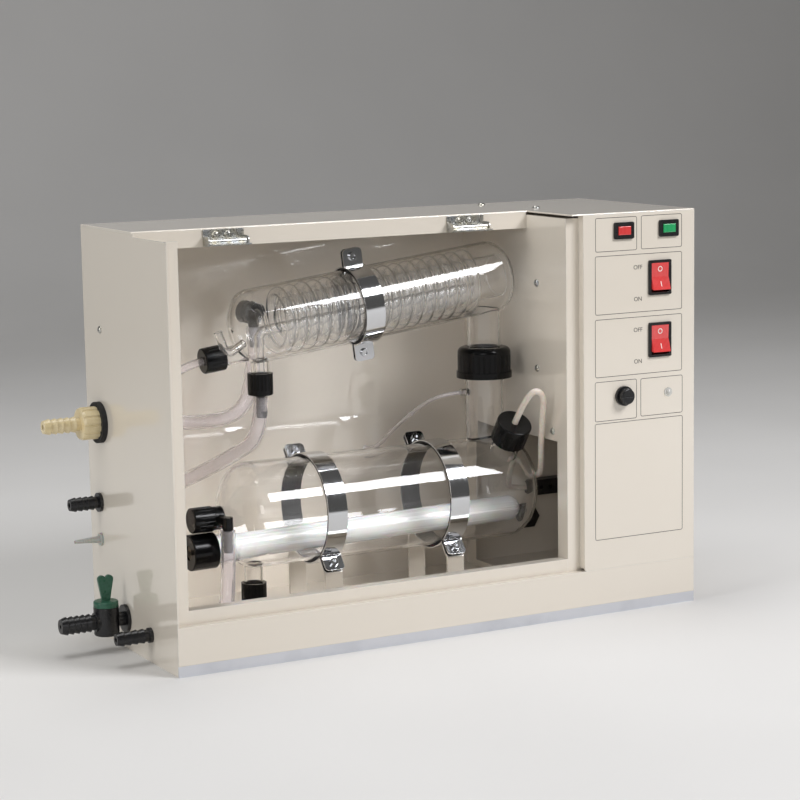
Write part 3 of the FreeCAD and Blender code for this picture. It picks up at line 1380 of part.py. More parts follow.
def cable_gland():
    back = DEPTH
    place = V(GLAND_AT[0], back, GLAND_AT[1])
    nut = hexagon(22.0, 5.0, 0)
    shape = joined([stand(hexagon(22.0, 6.0, 0), place, V(0, 1, 0)),
                    rod(GLAND_R, place - V(0, SHEET + 7, 0), V(0, 1, 0), SHEET + 20),
                    stand(nut, place - V(0, SHEET, 0), V(0, -1, 0))])
    return shape.cut(rod(CORD_R, place - V(0, 20, 0), V(0, 1, 0), 60))


os.makedirs("parts", exist_ok=True)

PIECES = {
    "base_tray": base_tray,
    "floor_pan": floor_pan,
    "left_panel": left_panel,
    "right_panel": right_panel,
    "rear_panel": rear_panel,
    "top_panel": top_panel,
    "front_frame": front_frame,
    "lower_front_panel": lower_front_panel,
    "partition": partition,
    "control_panel": control_panel,
    "case_screws": case_screws,
    "neon_bezels": neon_bezels,
    "neon_lens_red": lambda: neon_lens(NEON_AT[0]),
    "neon_lens_green": lambda: neon_lens(NEON_AT[1]),
    "rocker_bezels": rocker_bezels,
    "rocker_upper": lambda: rocker(SWITCH_AT[0]),
    "rocker_lower": lambda: rocker(SWITCH_AT[1]),
    "fuse_holder": fuse_holder,
    "fuse_cap": fuse_cap,
    "indicator_lamp": indicator_lamp,
    "boiler_vessel": boiler_vessel,
    "heater_sheath": heater_sheath,
    "heater_element": heater_element,
    "heater_cap": heater_cap,
    "boiler_neck_cap": boiler_neck_cap,
    "riser_seal": riser_seal,
    "riser_cap": riser_cap,
    "small_screw_caps": small_screw_caps,
    "hose_collars": hose_collars,
    "outlet_barb": outlet_barb,
    "drain_elbow": drain_elbow,
    "condenser_jacket": condenser_jacket,
    "condenser_core": condenser_core,
    "condenser_coil": condenser_coil,
    "coil_return_tube": coil_return_tube,
    "boiler_clamp_bands": boiler_clamp_bands,
    "condenser_clamp_bands": condenser_clamp_bands,
    "clamp_linings": clamp_linings,
    "clamp_fasteners": clamp_fasteners,
    "boiler_supports": boiler_supports,
    "condenser_bracket": condenser_bracket,
    "inlet_washer": inlet_washer,
    "inlet_union": inlet_union,
    "hose_ports": hose_ports,
    "product_port": product_port,
    "tap_body": tap_body,
    "tap_lever": tap_lever,
    "inlet_hose": inlet_hose,
    "return_hose": return_hose,
    "level_hose": level_hose,
    "drain_hose": drain_hose,
    "product_tube": product_tube,
    "silicone_sleeve": silicone_sleeve,
    "balance_tube": balance_tube,
    "hinge_frames": hinge_frames,
    "hinge_leaf_left": lambda: hinge_leaf(HINGE_AT[0]),
    "hinge_leaf_right": lambda: hinge_leaf(HINGE_AT[1]),
    "hinge_pins": hinge_pins,
    "terminal_block": terminal_block,
    "cable_gland": cable_gland,
}

for piece_name, make in PIECES.items():
    save(piece_name, make())
print(len(PIECES), "pieces")
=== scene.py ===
import bpy
import bmesh
import json
import math
from mathutils import Matrix, Vector


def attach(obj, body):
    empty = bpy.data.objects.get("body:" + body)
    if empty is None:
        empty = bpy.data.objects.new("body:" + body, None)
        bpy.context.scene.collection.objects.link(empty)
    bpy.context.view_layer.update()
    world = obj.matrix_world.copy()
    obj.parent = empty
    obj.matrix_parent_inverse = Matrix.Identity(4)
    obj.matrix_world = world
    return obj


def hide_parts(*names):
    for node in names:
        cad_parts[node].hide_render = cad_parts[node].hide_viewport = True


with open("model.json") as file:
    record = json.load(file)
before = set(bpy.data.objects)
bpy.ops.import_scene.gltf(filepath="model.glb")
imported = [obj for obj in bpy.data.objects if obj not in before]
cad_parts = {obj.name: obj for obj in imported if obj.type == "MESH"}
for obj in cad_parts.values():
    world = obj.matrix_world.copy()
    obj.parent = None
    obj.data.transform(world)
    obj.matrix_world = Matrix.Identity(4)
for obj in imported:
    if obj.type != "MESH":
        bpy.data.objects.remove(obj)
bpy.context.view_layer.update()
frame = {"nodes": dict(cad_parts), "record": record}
NODES = frame["nodes"]

# Places below are in millimetres, as in the part's source: across from the cabinet's
# left side, back from its front face and up from the bench. put() takes them to metres
# in the frame, whose origin is under the middle of the cabinet.
MM = 0.001
MIDDLE_X, MIDDLE_Y = 275.0, 103.0
CASE_WIDE, CASE_DEEP, CASE_TALL = 2 * MIDDLE_X, 2 * MIDDLE_Y, 388.0
WALL_LEFT, BOX_LEFT = 409.0, 423.0
GLASS_BACK = 107.0


def put(x, y, z):
    return Vector(((x - MIDDLE_X) * MM, (y - MIDDLE_Y) * MM, z * MM))


# Camera at the photograph's place and angle
CAMERA_AT = Vector((-1.032, -1.947, 0.541))
YAW, PITCH, ROLL = math.radians(28.03), math.radians(8.51), math.radians(-0.98)
LENS, SENSOR = 104.445, 36.0


def set_camera():
    data = bpy.data.cameras.new("photo_view")
    data.lens = LENS
    data.sensor_width = SENSOR
    data.clip_start = 0.05
    data.clip_end = 40.0
    ahead = Vector((math.sin(YAW) * math.cos(PITCH), math.cos(YAW) * math.cos(PITCH), -math.sin(PITCH)))
    level = Vector((math.cos(YAW), -math.sin(YAW), 0.0))
    up = level.cross(ahead)
    right = level * math.cos(ROLL) + up * math.sin(ROLL)
    top = up * math.cos(ROLL) - level * math.sin(ROLL)
    camera = bpy.data.objects.new("photo_view", data)
    camera.matrix_world = Matrix((
        (right.x, top.x, -ahead.x, CAMERA_AT.x),
        (right.y, top.y, -ahead.y, CAMERA_AT.y),
        (right.z, top.z, -ahead.z, CAMERA_AT.z),
        (0, 0, 0, 1)))
    bpy.context.scene.collection.objects.link(camera)
    bpy.context.scene.camera = camera


# Colours and material nodes

def linear(code):
    """An sRGB hex colour as the linear colour that a shader takes."""
    parts = [int(code[i:i + 2], 16) / 255 for i in (1, 3, 5)]
    return [p / 12.92 if p <= 0.04045 else ((p + 0.055) / 1.055) ** 2.4 for p in parts] + [1.0]


def add(tree, kind, inputs=None, **settings):
    """Adds a node: settings are its own properties, inputs are values or sockets to link."""
    made = tree.nodes.new(kind)
    for name, value in settings.items():
        setattr(made, name, value)
    for name, value in (inputs or {}).items():
        if isinstance(value, bpy.types.NodeSocket):
            tree.links.new(value, made.inputs[name])
        else:
            made.inputs[name].default_value = value
    return made


def per(size_mm):
    """Noise or wave scale, in metres, whose features are size_mm across."""
    return 1.0 / (size_mm * MM)


def fresh(name):
    material = bpy.data.materials.new(name)
    material.use_nodes = True
    tree = material.node_tree
    tree.nodes.clear()
    where = add(tree, "ShaderNodeTexCoord").outputs["Object"]
    return material, tree, where


def speckle(tree, where, size_mm, detail=3.0, stretch=None):
    """Noise with features of a real size, drawn out along an axis by stretch."""
    if stretch:
        where = add(tree, "ShaderNodeMapping", {"Vector": where, "Scale": stretch}).outputs["Vector"]
    return add(tree, "ShaderNodeTexNoise",
               {"Vector": where, "Scale": per(size_mm), "Detail": detail}).outputs["Fac"]


def between(tree, factor, low, high, first=0.35, last=0.65):
    """Takes noise from first..last to low..high."""
    return add(tree, "ShaderNodeMapRange", {"Value": factor, "From Min": first, "From Max": last,
                                            "To Min": low, "To Max": high}).outputs["Result"]


def blend_colours(tree, factor, one, two):
    mix = add(tree, "ShaderNodeMix", data_type="RGBA")
    tree.links.new(factor, mix.inputs["Factor"])
    for socket, colour in ((mix.inputs[6], one), (mix.inputs[7], two)):
        if isinstance(colour, str):
            socket.default_value = linear(colour)
        else:
            tree.links.new(colour, socket)
    return mix.outputs[2]


def raised(tree, height, depth_mm, strength=1.0, normal=None):
    inputs = {"Height": height, "Distance": depth_mm * MM, "Strength": strength}
    if normal is not None:
        inputs["Normal"] = normal
    return add(tree, "ShaderNodeBump", inputs).outputs["Normal"]


def edges(tree, radius_mm):
    """The rounded normal of an edge, and how much of an edge each point is."""
    round_normal = add(tree, "ShaderNodeBevel", {"Radius": radius_mm * MM}, samples=4).outputs["Normal"]
    flat = add(tree, "ShaderNodeNewGeometry").outputs["Normal"]
    same = add(tree, "ShaderNodeVectorMath", {0: round_normal, 1: flat}, operation="DOT_PRODUCT")
    edge = add(tree, "ShaderNodeMapRange", {"Value": same.outputs["Value"], "From Min": 1.0,
                                            "From Max": 0.8, "To Min": 0.0, "To Max": 1.0})
    return round_normal, edge.outputs["Result"]


def finish(tree, inputs, lets_light=None):
    """Closes a material. lets_light is the tint of the light that passes to what is behind."""
    shader = add(tree, "ShaderNodeBsdfPrincipled", inputs).outputs["BSDF"]
    if lets_light:
        lamp = add(tree, "ShaderNodeLightPath").outputs["Is Shadow Ray"]
        through = add(tree, "ShaderNodeBsdfTransparent", {"Color": linear(lets_light)})
        mix = add(tree, "ShaderNodeMixShader", {"Fac": lamp})
        tree.links.new(shader, mix.inputs[1])
        tree.links.new(through.outputs["BSDF"], mix.inputs[2])
        shader = mix.outputs["Shader"]
    add(tree, "ShaderNodeOutputMaterial", {"Surface": shader})


def stoved_enamel():
    """Cream epoxy enamel, sprayed on sheet steel and stoved: a glassy skin that mirrors what
    stands near it, over a fine orange peel about 2 mm across, with a paler film at edges."""
    material, tree, where = fresh("stoved_enamel")
    cloud = speckle(tree, where, 160.0, 1.0)
    colour = blend_colours(tree, cloud, "#E6DDCE", "#E9E1D4")
    round_normal, edge = edges(tree, 0.7)
    colour = blend_colours(tree, edge, colour, "#EFEBE4")
    peel = speckle(tree, where, 2.2, 1.0)
    grip = between(tree, speckle(tree, where, 90.0, 1.0), 0.27, 0.31, 0.1, 0.9)
    finish(tree, {"Base Color": colour, "Roughness": grip, "IOR": 1.5, "Coat Weight": 1.0,
                  "Coat Roughness": 0.03, "Coat IOR": 1.75,
                  "Normal": raised(tree, peel, 0.006, 0.2, round_normal)})
    return material


def satin_steel():
    """Bare cold-rolled steel sheet, brushed along its length: a soft grey sheen with fine
    lines across the light and a few darker rub marks."""
    material, tree, where = fresh("satin_steel")
    grain = speckle(tree, where, 1.2, 4.0, (0.02, 1.0, 1.0))
    rubs = between(tree, speckle(tree, where, 40.0, 5.0), 0.0, 0.6, 0.5, 0.8)
    colour = blend_colours(tree, rubs, "#DCDEE4", "#C4C7CE")
    finish(tree, {"Base Color": colour, "Metallic": 0.6, "Roughness": between(tree, grain, 0.34, 0.46),
                  "Normal": raised(tree, grain, 0.02, 0.4)})
    return material


def zinc_plate():
    """Bright zinc plating on pressed steel: cool grey with a faint straw tint in patches,
    mirror-like but clouded, and rubbed brighter along its edges."""
    material, tree, where = fresh("zinc_plate")
    cloud = between(tree, speckle(tree, where, 7.0, 4.0), 0.0, 1.0)
    round_normal, edge = edges(tree, 0.35)
    colour = blend_colours(tree, cloud, "#B4B7BA", "#C4C0B2")
    colour = blend_colours(tree, edge, colour, "#DADBDC")
    finish(tree, {"Base Color": colour, "Metallic": 1.0,
                  "Roughness": between(tree, speckle(tree, where, 1.4), 0.22, 0.38),
                  "Normal": round_normal})
    return material


def bright_chrome():
    """Polished spring steel with chrome plating: a clear dark-and-bright mirror, with
    hairlines left by polishing round the band."""
    material, tree, where = fresh("bright_chrome")
    hairs = speckle(tree, where, 0.8, 3.0, (1.0, 0.05, 0.05))
    round_normal, edge = edges(tree, 0.3)
    colour = blend_colours(tree, edge, "#CFD0D2", "#E6E7E8")
    finish(tree, {"Base Color": colour, "Metallic": 1.0, "Roughness": between(tree, hairs, 0.05, 0.12),
                  "Normal": raised(tree, hairs, 0.004, 0.3, round_normal)})
    return material


def blown_glass():
    """Clear borosilicate glass, drawn as tube and blown by hand: colourless, with faint
    draw lines along the tube and a slow ripple where it was worked soft."""
    material, tree, where = fresh("blown_glass")
    draw = speckle(tree, where, 9.0, 1.0, (0.12, 1.0, 1.0))
    ripple = speckle(tree, where, 34.0, 1.0)
    normal = raised(tree, draw, 0.05, 0.5, raised(tree, ripple, 0.5, 0.4))
    finish(tree, {"Base Color": linear("#FFFFFF"), "Roughness": between(tree, ripple, 0.0, 0.02),
                  "IOR": 1.47, "Transmission Weight": 1.0, "Normal": normal}, "#FAFAFA")
    return material


def fused_quartz():
    """Translucent fused quartz sheath: milky white with silky lines of drawn-out bubbles
    along its length, glossy outside."""
    material, tree, where = fresh("fused_quartz")
    silk = speckle(tree, where, 2.4, 2.0, (0.02, 1.0, 1.0))
    colour = blend_colours(tree, between(tree, silk, 0.0, 1.0), "#EFE9E6", "#F7F3F1")
    finish(tree, {"Base Color": colour, "Roughness": between(tree, silk, 0.16, 0.3), "IOR": 1.46,
                  "Transmission Weight": 0.15, "Subsurface Weight": 0.35, "Subsurface Scale": 0.004,
                  "Coat Weight": 0.4, "Coat Roughness": 0.05, "Normal": raised(tree, silk, 0.02, 0.2)})
    return material


def heater_winding():
    """Oxidised nickel-chrome winding: dull warm grey with darker heat bands."""
    material, tree, where = fresh("heater_winding")
    band = speckle(tree, where, 6.0, 3.0, (1.0, 0.1, 0.1))
    colour = blend_colours(tree, between(tree, band, 0.0, 1.0), "#6B645C", "#8F867A")
    finish(tree, {"Base Color": colour, "Metallic": 0.8, "Roughness": between(tree, band, 0.4, 0.6),
                  "Normal": raised(tree, band, 0.05, 0.4)})
    return material


def moulded_phenolic():
    """Black phenolic screw caps, compression moulded: a deep gloss that shows each groove,
    a faint grey bloom on the edges that hands rub, and slow flow marks under the skin."""
    material, tree, where = fresh("moulded_phenolic")
    round_normal, edge = edges(tree, 0.35)
    flow = speckle(tree, where, 18.0, 2.0)
    colour = blend_colours(tree, between(tree, flow, 0.0, 1.0), "#060607", "#0B0B0C")
    colour = blend_colours(tree, edge, colour, "#232324")
    finish(tree, {"Base Color": colour, "Roughness": between(tree, flow, 0.16, 0.24), "IOR": 1.5,
                  "Specular IOR Level": 0.25, "Normal": raised(tree, flow, 0.02, 0.1, round_normal)})
    return material


def moulded_nylon(name, dark, mid, rubbed, rough):
    """Injection-moulded nylon and ABS fittings: a low sheen with a spark-eroded grain
    about 0.8 mm across, paler where an edge is rubbed."""
    material, tree, where = fresh(name)
    round_normal, edge = edges(tree, 0.3)
    grain = speckle(tree, where, 0.8, 2.0)
    colour = blend_colours(tree, between(tree, speckle(tree, where, 9.0), 0.0, 1.0), dark, mid)
    colour = blend_colours(tree, edge, colour, rubbed)
    finish(tree, {"Base Color": colour, "Roughness": between(tree, grain, rough - 0.06, rough + 0.08),
                  "IOR": 1.53, "Normal": raised(tree, grain, 0.02, 0.3, round_normal)})
    return material


def moulded_rubber():
    """Black EPDM rubber, moulded and cut: matt, with a dusty grey bloom in patches."""
    material, tree, where = fresh("moulded_rubber")
    dust = speckle(tree, where, 3.0, 5.0)
    colour = blend_colours(tree, between(tree, dust, 0.0, 1.0, 0.45, 0.75), "#161617", "#333334")
    finish(tree, {"Base Color": colour, "Roughness": between(tree, dust, 0.62, 0.82), "IOR": 1.5,
                  "Normal": raised(tree, speckle(tree, where, 0.6), 0.03, 0.4)})
    return material


def clear_vinyl():
    """Plasticised PVC hose, extruded: clear with a breath of lilac that gathers at its edges,
    with a soft gloss and slow ripples along its length."""
    material, tree, where = fresh("clear_vinyl")
    ripple = speckle(tree, where, 11.0, 2.0)
    finish(tree, {"Base Color": linear("#FBF8F9"), "Roughness": between(tree, ripple, 0.04, 0.1),
                  "IOR": 1.4, "Transmission Weight": 0.88,
                  "Normal": raised(tree, ripple, 0.25, 0.3)}, "#F3EEEE")
    return material


def white_silicone():
    """White silicone rubber, extruded: soft, faintly see-through and waxy, with dust
    that clings in patches."""
    material, tree, where = fresh("white_silicone")
    dust = speckle(tree, where, 4.0, 4.0)
    colour = blend_colours(tree, between(tree, dust, 0.0, 1.0, 0.4, 0.8), "#E8DFD3", "#DDD2C4")
    finish(tree, {"Base Color": colour, "Roughness": between(tree, dust, 0.34, 0.5), "IOR": 1.41,
                  "Subsurface Weight": 0.4, "Subsurface Scale": 0.003,
                  "Normal": raised(tree, speckle(tree, where, 1.2), 0.03, 0.25)})
    return material


def milky_plastic():
    """Natural polypropylene, turned: milky and waxy, lighter where it is thin."""
    material, tree, where = fresh("milky_plastic")
    lines = speckle(tree, where, 0.9, 2.0, (1.0, 0.1, 0.1))
    colour = blend_colours(tree, between(tree, lines, 0.0, 1.0), "#D3D6D0", "#E6E8E3")
    finish(tree, {"Base Color": colour, "Roughness": between(tree, lines, 0.28, 0.4), "IOR": 1.49,
                  "Transmission Weight": 0.35, "Subsurface Weight": 0.4, "Subsurface Scale": 0.003,
                  "Normal": raised(tree, lines, 0.02, 0.3)})
    return material


def green_acetal():
    """Green acetal lever, injection moulded: even and waxy, scuffed paler on the ears."""
    material, tree, where = fresh("green_acetal")
    round_normal, edge = edges(tree, 0.5)
    scuff = speckle(tree, where, 3.0, 4.0)
    colour = blend_colours(tree, between(tree, scuff, 0.0, 1.0), "#285A45", "#316450")
    colour = blend_colours(tree, edge, colour, "#6C9784")
    finish(tree, {"Base Color": colour, "Roughness": between(tree, scuff, 0.26, 0.4), "IOR": 1.48,
                  "Normal": raised(tree, scuff, 0.02, 0.3, round_normal)})
    return material


# A wave texture repeats each 2 pi / 20 of its unit. The ribs are 1.5 mm apart.
WAVE_UNIT = 20 / (2 * math.pi)
LENS_RIB = 1.5


def lens_plastic(name, deep, bright, through, glow):
    """Tinted polycarbonate lens, polished mould: deep colour with fine prism ribs inside
    that catch the light, a hard gloss outside and the lit lamp behind it."""
    material, tree, where = fresh(name)
    ribs = add(tree, "ShaderNodeTexWave", {"Vector": where, "Scale": per(LENS_RIB * WAVE_UNIT),
                                           "Distortion": 0.0}, bands_direction="X").outputs["Fac"]
    colour = blend_colours(tree, ribs, deep, bright)
    finish(tree, {"Base Color": colour, "Roughness": between(tree, speckle(tree, where, 5.0), 0.12, 0.2),
                  "IOR": 1.58, "Transmission Weight": 0.25, "Coat Weight": 0.8, "Coat Roughness": 0.04,
                  "Emission Color": linear(bright), "Emission Strength": glow}, through)
    return material


def printed_ink():
    """Screen-printed enamel ink: near black and matt, thin enough to look a little grey
    where the mesh left it patchy."""
    material, tree, where = fresh("printed_ink")
    mesh = speckle(tree, where, 0.7, 2.0)
    colour = blend_colours(tree, between(tree, mesh, 0.0, 1.0), "#1E1D1C", "#3A3835")
    finish(tree, {"Base Color": colour, "Roughness": between(tree, mesh, 0.45, 0.6)})
    return material


def white_mark():
    """Pad-printed white mark on a switch key: chalky, a little worn at the middle."""
    material, tree, where = fresh("white_mark")
    worn = speckle(tree, where, 1.0, 3.0)
    colour = blend_colours(tree, between(tree, worn, 0.0, 1.0, 0.5, 0.8), "#EFECE6", "#D9B6B0")
    finish(tree, {"Base Color": colour, "Roughness": between(tree, worn, 0.35, 0.55)})
    return material


def studio_paper():
    """Pale background paper: matt, with a faint mottle of the fibres."""
    material, tree, where = fresh("studio_paper")
    fibre = speckle(tree, where, 400.0, 2.0)
    colour = blend_colours(tree, between(tree, fibre, 0.0, 1.0), "#E0DFDD", "#E3E2E0")
    finish(tree, {"Base Color": colour, "Roughness": between(tree, fibre, 0.8, 0.9)})
    return material


FINISHES = {
    "enamel": stoved_enamel(),
    "bare_steel": satin_steel(),
    "zinc_plate": zinc_plate(),
    "chrome": bright_chrome(),
    "borosilicate": blown_glass(),
    "quartz": fused_quartz(),
    "element": heater_winding(),
    "cap_black": moulded_phenolic(),
    "plastic_black": moulded_nylon("black_nylon", "#101011", "#17171A", "#343436", 0.32),
    "rubber_black": moulded_rubber(),
    "pvc_clear": clear_vinyl(),
    "silicone_white": white_silicone(),
    "nylon_cream": moulded_nylon("cream_nylon", "#E2D0A2", "#ECDCB4", "#F6F1E2", 0.3),
    "plastic_milky": milky_plastic(),
    "plastic_green": green_acetal(),
    "lens_red": lens_plastic("red_lens", "#C82B29", "#E05050", "#D8564E", 0.16),
    "lens_green": lens_plastic("green_lens", "#12824A", "#35AE6E", "#4FB07C", 0.22),
    "lens_clear": lens_plastic("clear_lens", "#D8D8D2", "#EFEFEA", "#E8E8E4", 0.0),
}


def dress_nodes():
    slots = {row["node"]: row["material_slot"] for row in frame["record"]["subparts"]}
    for name, node in NODES.items():
        for holder in node.material_slots:
            holder.material = FINISHES[slots[name]]


# Pieces

def piece(name, mesh, slot, body="cabinet", stands_for=(), finish_of=None):
    made = bpy.data.objects.new(name, mesh)
    bpy.context.scene.collection.objects.link(made)
    mesh.materials.clear()
    mesh.materials.append(finish_of or FINISHES[slot])
    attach(made, body)
    if stands_for:
        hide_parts(*stands_for)
    return made


def smooth_line(name, points):
    """The points that a NURBS spline runs through, with the given places as its controls."""
    curve = bpy.data.curves.new(name, "CURVE")
    curve.dimensions = "3D"
    curve.resolution_u = 14
    spline = curve.splines.new("NURBS")
    spline.points.add(len(points) - 1)
    for control, place in zip(spline.points, points):
        control.co = (*place, 1.0)
    spline.order_u = 3
    spline.use_endpoint_u = True
    holder = bpy.data.objects.new(name, curve)
    bpy.context.scene.collection.objects.link(holder)
    bpy.context.view_layer.update()
    line = bpy.data.meshes.new_from_object(holder)
    path = [v.co.copy() for v in line.vertices]
    bpy.data.objects.remove(holder)
    bpy.data.meshes.remove(line)
    bpy.data.curves.remove(curve)
    return path


SHARP = 1.0    # radians between two faces, past which their edge is drawn sharp


def tube_along(name, path, radius, bore, sides):
    """A tube whose section stays square to the path, closed at both ends. Sizes in mm."""
    count = len(path)
    ways = []
    for i in range(count):
        way = path[min(i + 1, count - 1)] - path[max(i - 1, 0)]
        ways.append(way.normalized())
    across = ways[0].orthogonal().normalized()
    mesh = bmesh.new()
    rings = {radius: [], bore: []} if bore else {radius: []}
    for i in range(count):
        across = (across - ways[i] * across.dot(ways[i])).normalized()
        over = ways[i].cross(across)
        for size, made in rings.items():
            ring = []
            for k in range(sides):
                turn = 2 * math.pi * k / sides
                place = path[i] + (across * math.cos(turn) + over * math.sin(turn)) * (size * MM)
                ring.append(mesh.verts.new(place))
            made.append(ring)
    for size, made in rings.items():
        for low, high in zip(made, made[1:]):
            for k in range(sides):
                n = (k + 1) % sides
                corners = [low[k], low[n], high[n], high[k]]
                mesh.faces.new(corners if size == radius else corners[::-1])
    for end, flip in ((0, True), (-1, False)):
        outer = rings[radius][end]
        if bore:
            inner = rings[bore][end]
            for k in range(sides):
                n = (k + 1) % sides
                corners = [outer[k], outer[n], inner[n], inner[k]]
                mesh.faces.new(corners[::-1] if flip else corners)
        else:
            mesh.faces.new(outer[::-1] if flip else outer)
    for face in mesh.faces:
        face.smooth = len(face.verts) == 4
    mesh.normal_update()
    for edge in mesh.edges:
        faces = edge.link_faces
        if len(faces) == 2 and faces[0].normal.angle(faces[1].normal, 0) > SHARP:
            edge.smooth = False
    data = bpy.data.meshes.new(name)
    mesh.to_mesh(data)
    mesh.free()
    return data


HOSE_SIDES = 28
# Each soft run: the control places of its line, then its outer radius and its bore's radius
RUNS = {
    "inlet_hose": ([(7, 172, 205.5), (45, 172, 205.5), (88, 160, 197), (135.975, 149.75, 203),
                    (147.575, 149.75, 246.0), (147.575, 149.75, 286.4)], 7.0, 5.0),
    "return_hose": ([(134.5, 107, 225.8), (134.5, 107, 187.8), (112, 134, 166), (84, 160, 146),
                     (45, 179.8, 128.5), (6, 179.8, 128.5)], 7.0, 5.0),
    "level_hose": ([(86.3, 81.5, 108.5), (86.3, 81.5, 69.5), (77, 70, 31), (42, 62.8, 25.6),
                    (6, 62.8, 25.6)], 7.0, 5.0),
    "drain_hose": ([(108, 107, 25.4), (72, 107, 25.4), (36, 123, 28.7), (6, 123, 28.7)], 4.6, 3.0),
    "product_tube": ([(84.484, 107, 264.56), (54.701, 107, 260.956), (36, 114, 238), (27, 128, 206),
                      (27, 146, 172), (31, 160, 140), (34, 168, 118), (28, 180.5, 92.9),
                      (5, 180.5, 92.9)], 4.0, 2.6),
    "silicone_sleeve": ([(379.5, 59.683, 180.626), (379.5, 31.276, 219.727), (397, 30, 218),
                         (400, 39, 188), (404, 48, 163), (412, 61, 143), (421, 78, 128),
                         (427, 104, 122), (427, 128, 138), (436, 154, 128), (446, 180, 104),
                         (458.7, 197.5, 90), (484.7, 197.5, 90)], 3.0, 0.0),
    "balance_tube": ([(353.2, 107, 212), (333.2, 107, 212), (318, 124, 203), (302, 156, 176),
                      (293, 184, 149), (293, 205, 149)], 2.0, 1.1),
}


def soft_runs():
    for name, (places, radius, bore) in RUNS.items():
        path = smooth_line(name + "_line", [put(*p) for p in places])
        mesh = tube_along(name + "_run", path, radius, bore, HOSE_SIDES)
        slot = "silicone_white" if name == "silicone_sleeve" else "pvc_clear"
        piece(name + "_run", mesh, slot, stands_for=(name,))


# The condenser's coil, as hollow glass tube, in the condenser's own frame
COND_AT = (106.6, GLASS_BACK, 289.9)
COND_TILT = math.radians(-6.9)
COIL_START, COIL_TURNS, COIL_PITCH = 42.0, 17, 12.4
COIL_R, COIL_TUBE, COIL_BORE, COIL_BEND = 27.3, 4.8, 3.5, 6.0
COIL_STEPS, COIL_SIDES = 36, 20
REAR_END, REAR_FROM, CORE_RUN, KNEE_BEND = 46.0, 40.0, 9.0, 7.0
STUB_X, STUB_FOOT = 134.5, 232.3


def from_condenser(x, y, z):
    turned = Matrix.Rotation(COND_TILT, 3, "Y") @ Vector((x, y, z))
    return put(turned.x + COND_AT[0], turned.y + COND_AT[1], turned.z + COND_AT[2])


def corner(before, at, after, radius, steps=6):
    """An arc that rounds a right-angled corner."""
    a, b = (before - at).normalized(), (after - at).normalized()
    centre = at + (a + b) * radius
    arc = []
    for i in range(steps + 1):
        turn = math.pi / 2 * i / steps
        arc.append(centre - b * radius * math.cos(turn) - a * radius * math.sin(turn))
    return arc


def coil_path():
    turned = []
    for i in range(COIL_TURNS * COIL_STEPS + 1):
        phi = 2 * math.pi * i / COIL_STEPS
        turned.append(from_condenser(COIL_START + COIL_PITCH * i / COIL_STEPS,
                                     COIL_R * math.cos(phi), -COIL_R * math.sin(phi)))
    end = COIL_START + COIL_TURNS * COIL_PITCH
    bend = COIL_BEND
    rear = [from_condenser(COIL_START, y, bend) for y in (REAR_END, REAR_FROM)]
    lead_in = rear + corner(rear[0], from_condenser(COIL_START, COIL_R, bend),
                            from_condenser(COIL_START, COIL_R, 0), bend * MM)
    lead_out = corner(turned[-1], from_condenser(end, COIL_R, -bend), from_condenser(end, 0, -bend),
                      bend * MM)
    middle = from_condenser(end, 0, -bend)
    lead_out += corner(from_condenser(end, CORE_RUN, -bend), middle, from_condenser(0, 0, -bend), bend * MM)
    slope = math.tan(-COND_TILT)
    knee = Vector((put(STUB_X, 0, 0).x, middle.y, 0))
    knee.z = middle.z - (middle.x - knee.x) * slope
    foot = put(STUB_X, COND_AT[1], STUB_FOOT)
    lead_out += corner(middle, knee, foot, KNEE_BEND * MM)
    lead_out.append(foot)
    return lead_in[:-1] + turned + lead_out[1:]


def wound_coil():
    mesh = tube_along("glass_coil", coil_path(), COIL_TUBE, COIL_BORE, COIL_SIDES)
    piece("glass_coil", mesh, "borosilicate", stands_for=("condenser_coil", "coil_return_tube"))


# What repeats or follows a rule is grown by a tree of geometry nodes

def growing_tree(name, sizes):
    """A tree with geometry in and out and its sizes as named inputs. Returns it and them."""
    tree = bpy.data.node_groups.new(name, "GeometryNodeTree")
    tree.interface.new_socket("Geometry", in_out="INPUT", socket_type="NodeSocketGeometry")
    tree.interface.new_socket("Geometry", in_out="OUTPUT", socket_type="NodeSocketGeometry")
    for size in sizes:
        tree.interface.new_socket(size, in_out="INPUT", socket_type="NodeSocketFloat")
    tree.interface.new_socket("Finish", in_out="INPUT", socket_type="NodeSocketMaterial")
    return tree, add(tree, "NodeGroupInput").outputs


def close_tree(tree, grown, finish_socket):
    whole = add(tree, "GeometryNodeRealizeInstances", {"Geometry": grown}).outputs["Geometry"]
    dressed = add(tree, "GeometryNodeSetMaterial", {"Geometry": whole, "Material": finish_socket})
    add(tree, "NodeGroupOutput", {"Geometry": dressed.outputs["Geometry"]})


def grow(name, base, tree, values):
    """The plain mesh that a tree makes from a base mesh, with the inputs given by name."""
    holder = bpy.data.objects.new(name, base)
    bpy.context.scene.collection.objects.link(holder)
    modifier = holder.modifiers.new(name, "NODES")
    modifier.node_group = tree
    for socket in tree.interface.items_tree:
        if socket.in_out == "INPUT" and socket.name in values:
            modifier[socket.identifier] = values[socket.name]
    bpy.context.view_layer.update()
    seen = holder.evaluated_get(bpy.context.evaluated_depsgraph_get())
    mesh = bpy.data.meshes.new_from_object(seen)
    holder.modifiers.clear()
    bpy.data.objects.remove(holder)
    mesh.name = name
    return mesh


def times(tree, value, factor):
    return add(tree, "ShaderNodeMath", {0: value, 1: factor}, operation="MULTIPLY").outputs["Value"]


SCREW_SIZES = {"Head Radius": 3.6, "Head Height": 2.3, "Shank Radius": 1.85,
               "Shank Length": 7.8, "Slot Width": 0.9, "Slot Depth": 0.9}


